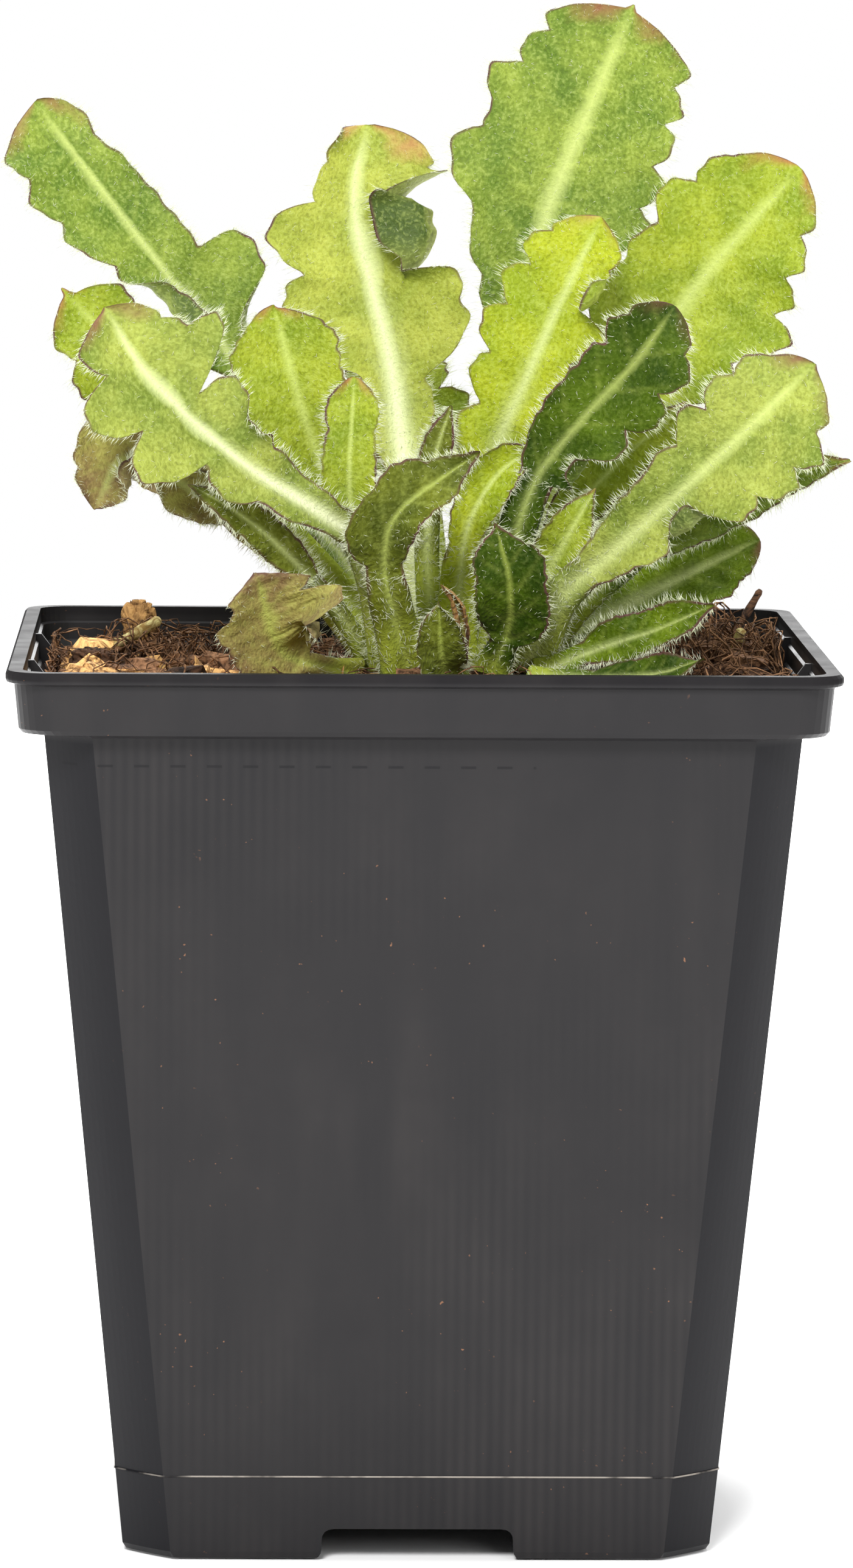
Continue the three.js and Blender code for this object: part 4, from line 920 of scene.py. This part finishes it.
# crown and litter
def makeKnob(name, node, material, slotName, power, roughness, seed, rows=40, around=60):
    # a ball squared off by power and stretched to the node's box, roughened by noise
    low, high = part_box(node)
    middle = np.array((low + high) / 2)
    half = np.array((high - low) / 2)
    tilt = np.linspace(0.02, math.pi - 0.02, rows)[:, None]
    turn = np.arange(around)[None, :] / around * 2 * np.pi
    ball = np.stack([np.sin(tilt) * np.cos(turn), np.sin(tilt) * np.sin(turn), np.cos(tilt) + 0 * turn], -1)
    block = np.sign(ball) * np.abs(ball) ** power
    size = float(half.max()) / mm
    rough = 0.82 + roughness * (noiseField(block, 1.1, seed) + 0.6 * noiseField(block, 0.4, seed + 1)
                                + 0.35 * noiseField(block * [1, 1, 0.3], 0.15, seed + 2))
    points = middle + block * half * np.clip(rough, 0.45, 1.0)[..., None]
    vertices, faces = closedRings(points, flip=True)
    tones = np.full(len(vertices), 0.3)
    addPiece(makeObject(name, vertices, faces, material, {"tone": tones}), slotName, node)


crownSkin = barkMaterial("crownSkin", (70, 62, 34), (138, 128, 70))
straw = barkMaterial("strawStem", (150, 122, 70), (206, 184, 126))
driedLeaf = barkMaterial("driedLeaf", (96, 62, 34), (150, 118, 58))
makeKnob("crown", "crown", crownSkin, "crown", 0.9, 0.12, 21)
for name, node, material, slotName, seed in (
    ("barkChipTall", "bark_chip_tall", barkPale, "bark", 22),
    ("barkChipDark", "bark_chip_dark", barkDark, "bark", 23),
    ("barkChipFront", "bark_chip_front", barkPale, "bark", 24),
    ("barkChipBack", "bark_chip_back", barkPale, "bark", 25),
    ("barkChipRight", "bark_chip_right", barkDark, "bark", 26),
    ("driedLeaf", "dried_leaf", driedLeaf, "old_leaf", 27),
):
    makeKnob(name, node, material, slotName, 0.7, 0.26, seed)


def makeStick(name, node, points, radius, material, slotName):
    # a tube along the same few points as its node, swelling a little at its joints
    line, length = routeThrough(points, 30)
    swell = 1 + 0.12 * np.sin(np.linspace(0, 1, 30) * 19)
    swell[[0, -1]] *= 0.6
    piece = makeTubes(name, line[None] * mm, (radius * swell * mm)[None], material, sides=12)
    addPiece(piece, slotName, node)


makeStick("deadStem", "dead_stem", [(-38, 18, 94.9), (-33, 15, 97), (-29, 13, 99.5)], 0.65, straw, "straw")
makeStick("strawStick", "straw_stick", [(36, 12, 94.8), (36.6, 10, 97), (37, 8.5, 99)], 0.65, straw, "straw")
makeStick("twig", "twig", [(33, 18, 94.8), (37, 20, 98), (40, 22, 102.5)], 0.45, barkDark, "bark")
print("crown and litter made")


# floor, light and camera
floorLook = {"radius": 1.2, "glowFrom": 0.036, "glowTo": 0.07, "glow": 0.8, "white": 0.93}


def makeFloor():
    # a white disc; away from the pot it glows a little, so that it stays as white as the background
    mesh = bpy.data.meshes.new("floor")
    turn = np.arange(96) / 96 * 2 * np.pi
    rim = floorLook["radius"] * np.stack([np.cos(turn), np.sin(turn), 0 * turn], -1)
    mesh.from_pydata(rim.tolist(), [], [list(range(96))])
    material, tree, shader = newMaterial("floorWhite", 0.95, specular=0.05)
    shader.inputs["Base Color"].default_value = (*[floorLook["white"]] * 3, 1)
    shader.inputs["Emission Color"].default_value = (1, 1, 1, 1)
    place = addNode(tree, "ShaderNodeTexCoord").outputs["Object"]
    reach = addNode(tree, "ShaderNodeVectorMath", {0: place}, operation="LENGTH").outputs["Value"]
    glow = remap(tree, reach, floorLook["glowFrom"], floorLook["glowTo"], 0.0, floorLook["glow"])
    tree.links.new(glow, shader.inputs["Emission Strength"])
    mesh.materials.append(material)
    floor = bpy.data.objects.new("floor", mesh)
    bpy.context.scene.collection.objects.link(floor)


def makeWorld(lightStrength, backgroundStrength):
    # what the camera sees is plain white; the light that it gives is softer
    world = bpy.data.worlds.new("studio")
    world.use_nodes = True
    tree = world.node_tree
    background = tree.nodes["Background"]
    background.inputs["Color"].default_value = (1, 1, 1, 1)
    seen = addNode(tree, "ShaderNodeLightPath").outputs["Is Camera Ray"]
    strength = remap(tree, seen, 0.0, 1.0, lightStrength, backgroundStrength)
    tree.links.new(strength, background.inputs["Strength"])
    bpy.context.scene.world = world


def addLight(name, place, aim, size, power):
    data = bpy.data.lights.new(name, "AREA")
    data.size = size
    data.energy = power
    light = bpy.data.objects.new(name, data)
    light.location = place
    light.rotation_euler = (Vector(aim) - Vector(place)).to_track_quat("-Z", "Y").to_euler()
    bpy.context.scene.collection.objects.link(light)


makeFloor()
makeWorld(0.38, 1.0)
addLight("keyLight", (-0.22, -1.0, 0.85), (0, 0, 0.12), 0.35, 19)
addLight("fillLight", (0.45, -1.0, 0.5), (0, 0, 0.12), 0.5, 4)
addLight("topLight", (0, 0.1, 1.1), (0, 0, 0), 0.7, 9)
addLight("backLight", (0.1, 0.9, 0.55), (0, 0, 0.12), 0.7, 9)

camera = {
    "place": (-20.7 * mm, -902.3 * mm, 176.1 * mm), "yaw": -1.39, "down": 5.94, "roll": 0.41, "lens": 185.3,
}
cameraData = bpy.data.cameras.new("camera")
cameraData.lens = camera["lens"]
cameraData.sensor_width = 36
cameraData.clip_start = 0.05
cameraObject = bpy.data.objects.new("camera", cameraData)
bpy.context.scene.collection.objects.link(cameraObject)
cameraObject.matrix_world = (Matrix.Translation(camera["place"])
                             @ Matrix.Rotation(math.radians(camera["yaw"]), 4, "Z")
                             @ Matrix.Rotation(math.radians(90 - camera["down"]), 4, "X")
                             @ Matrix.Rotation(math.radians(camera["roll"]), 4, "Z"))
bpy.context.scene.camera = cameraObject
bpy.context.scene.view_settings.view_transform = "Standard"
print("camera and lights set")
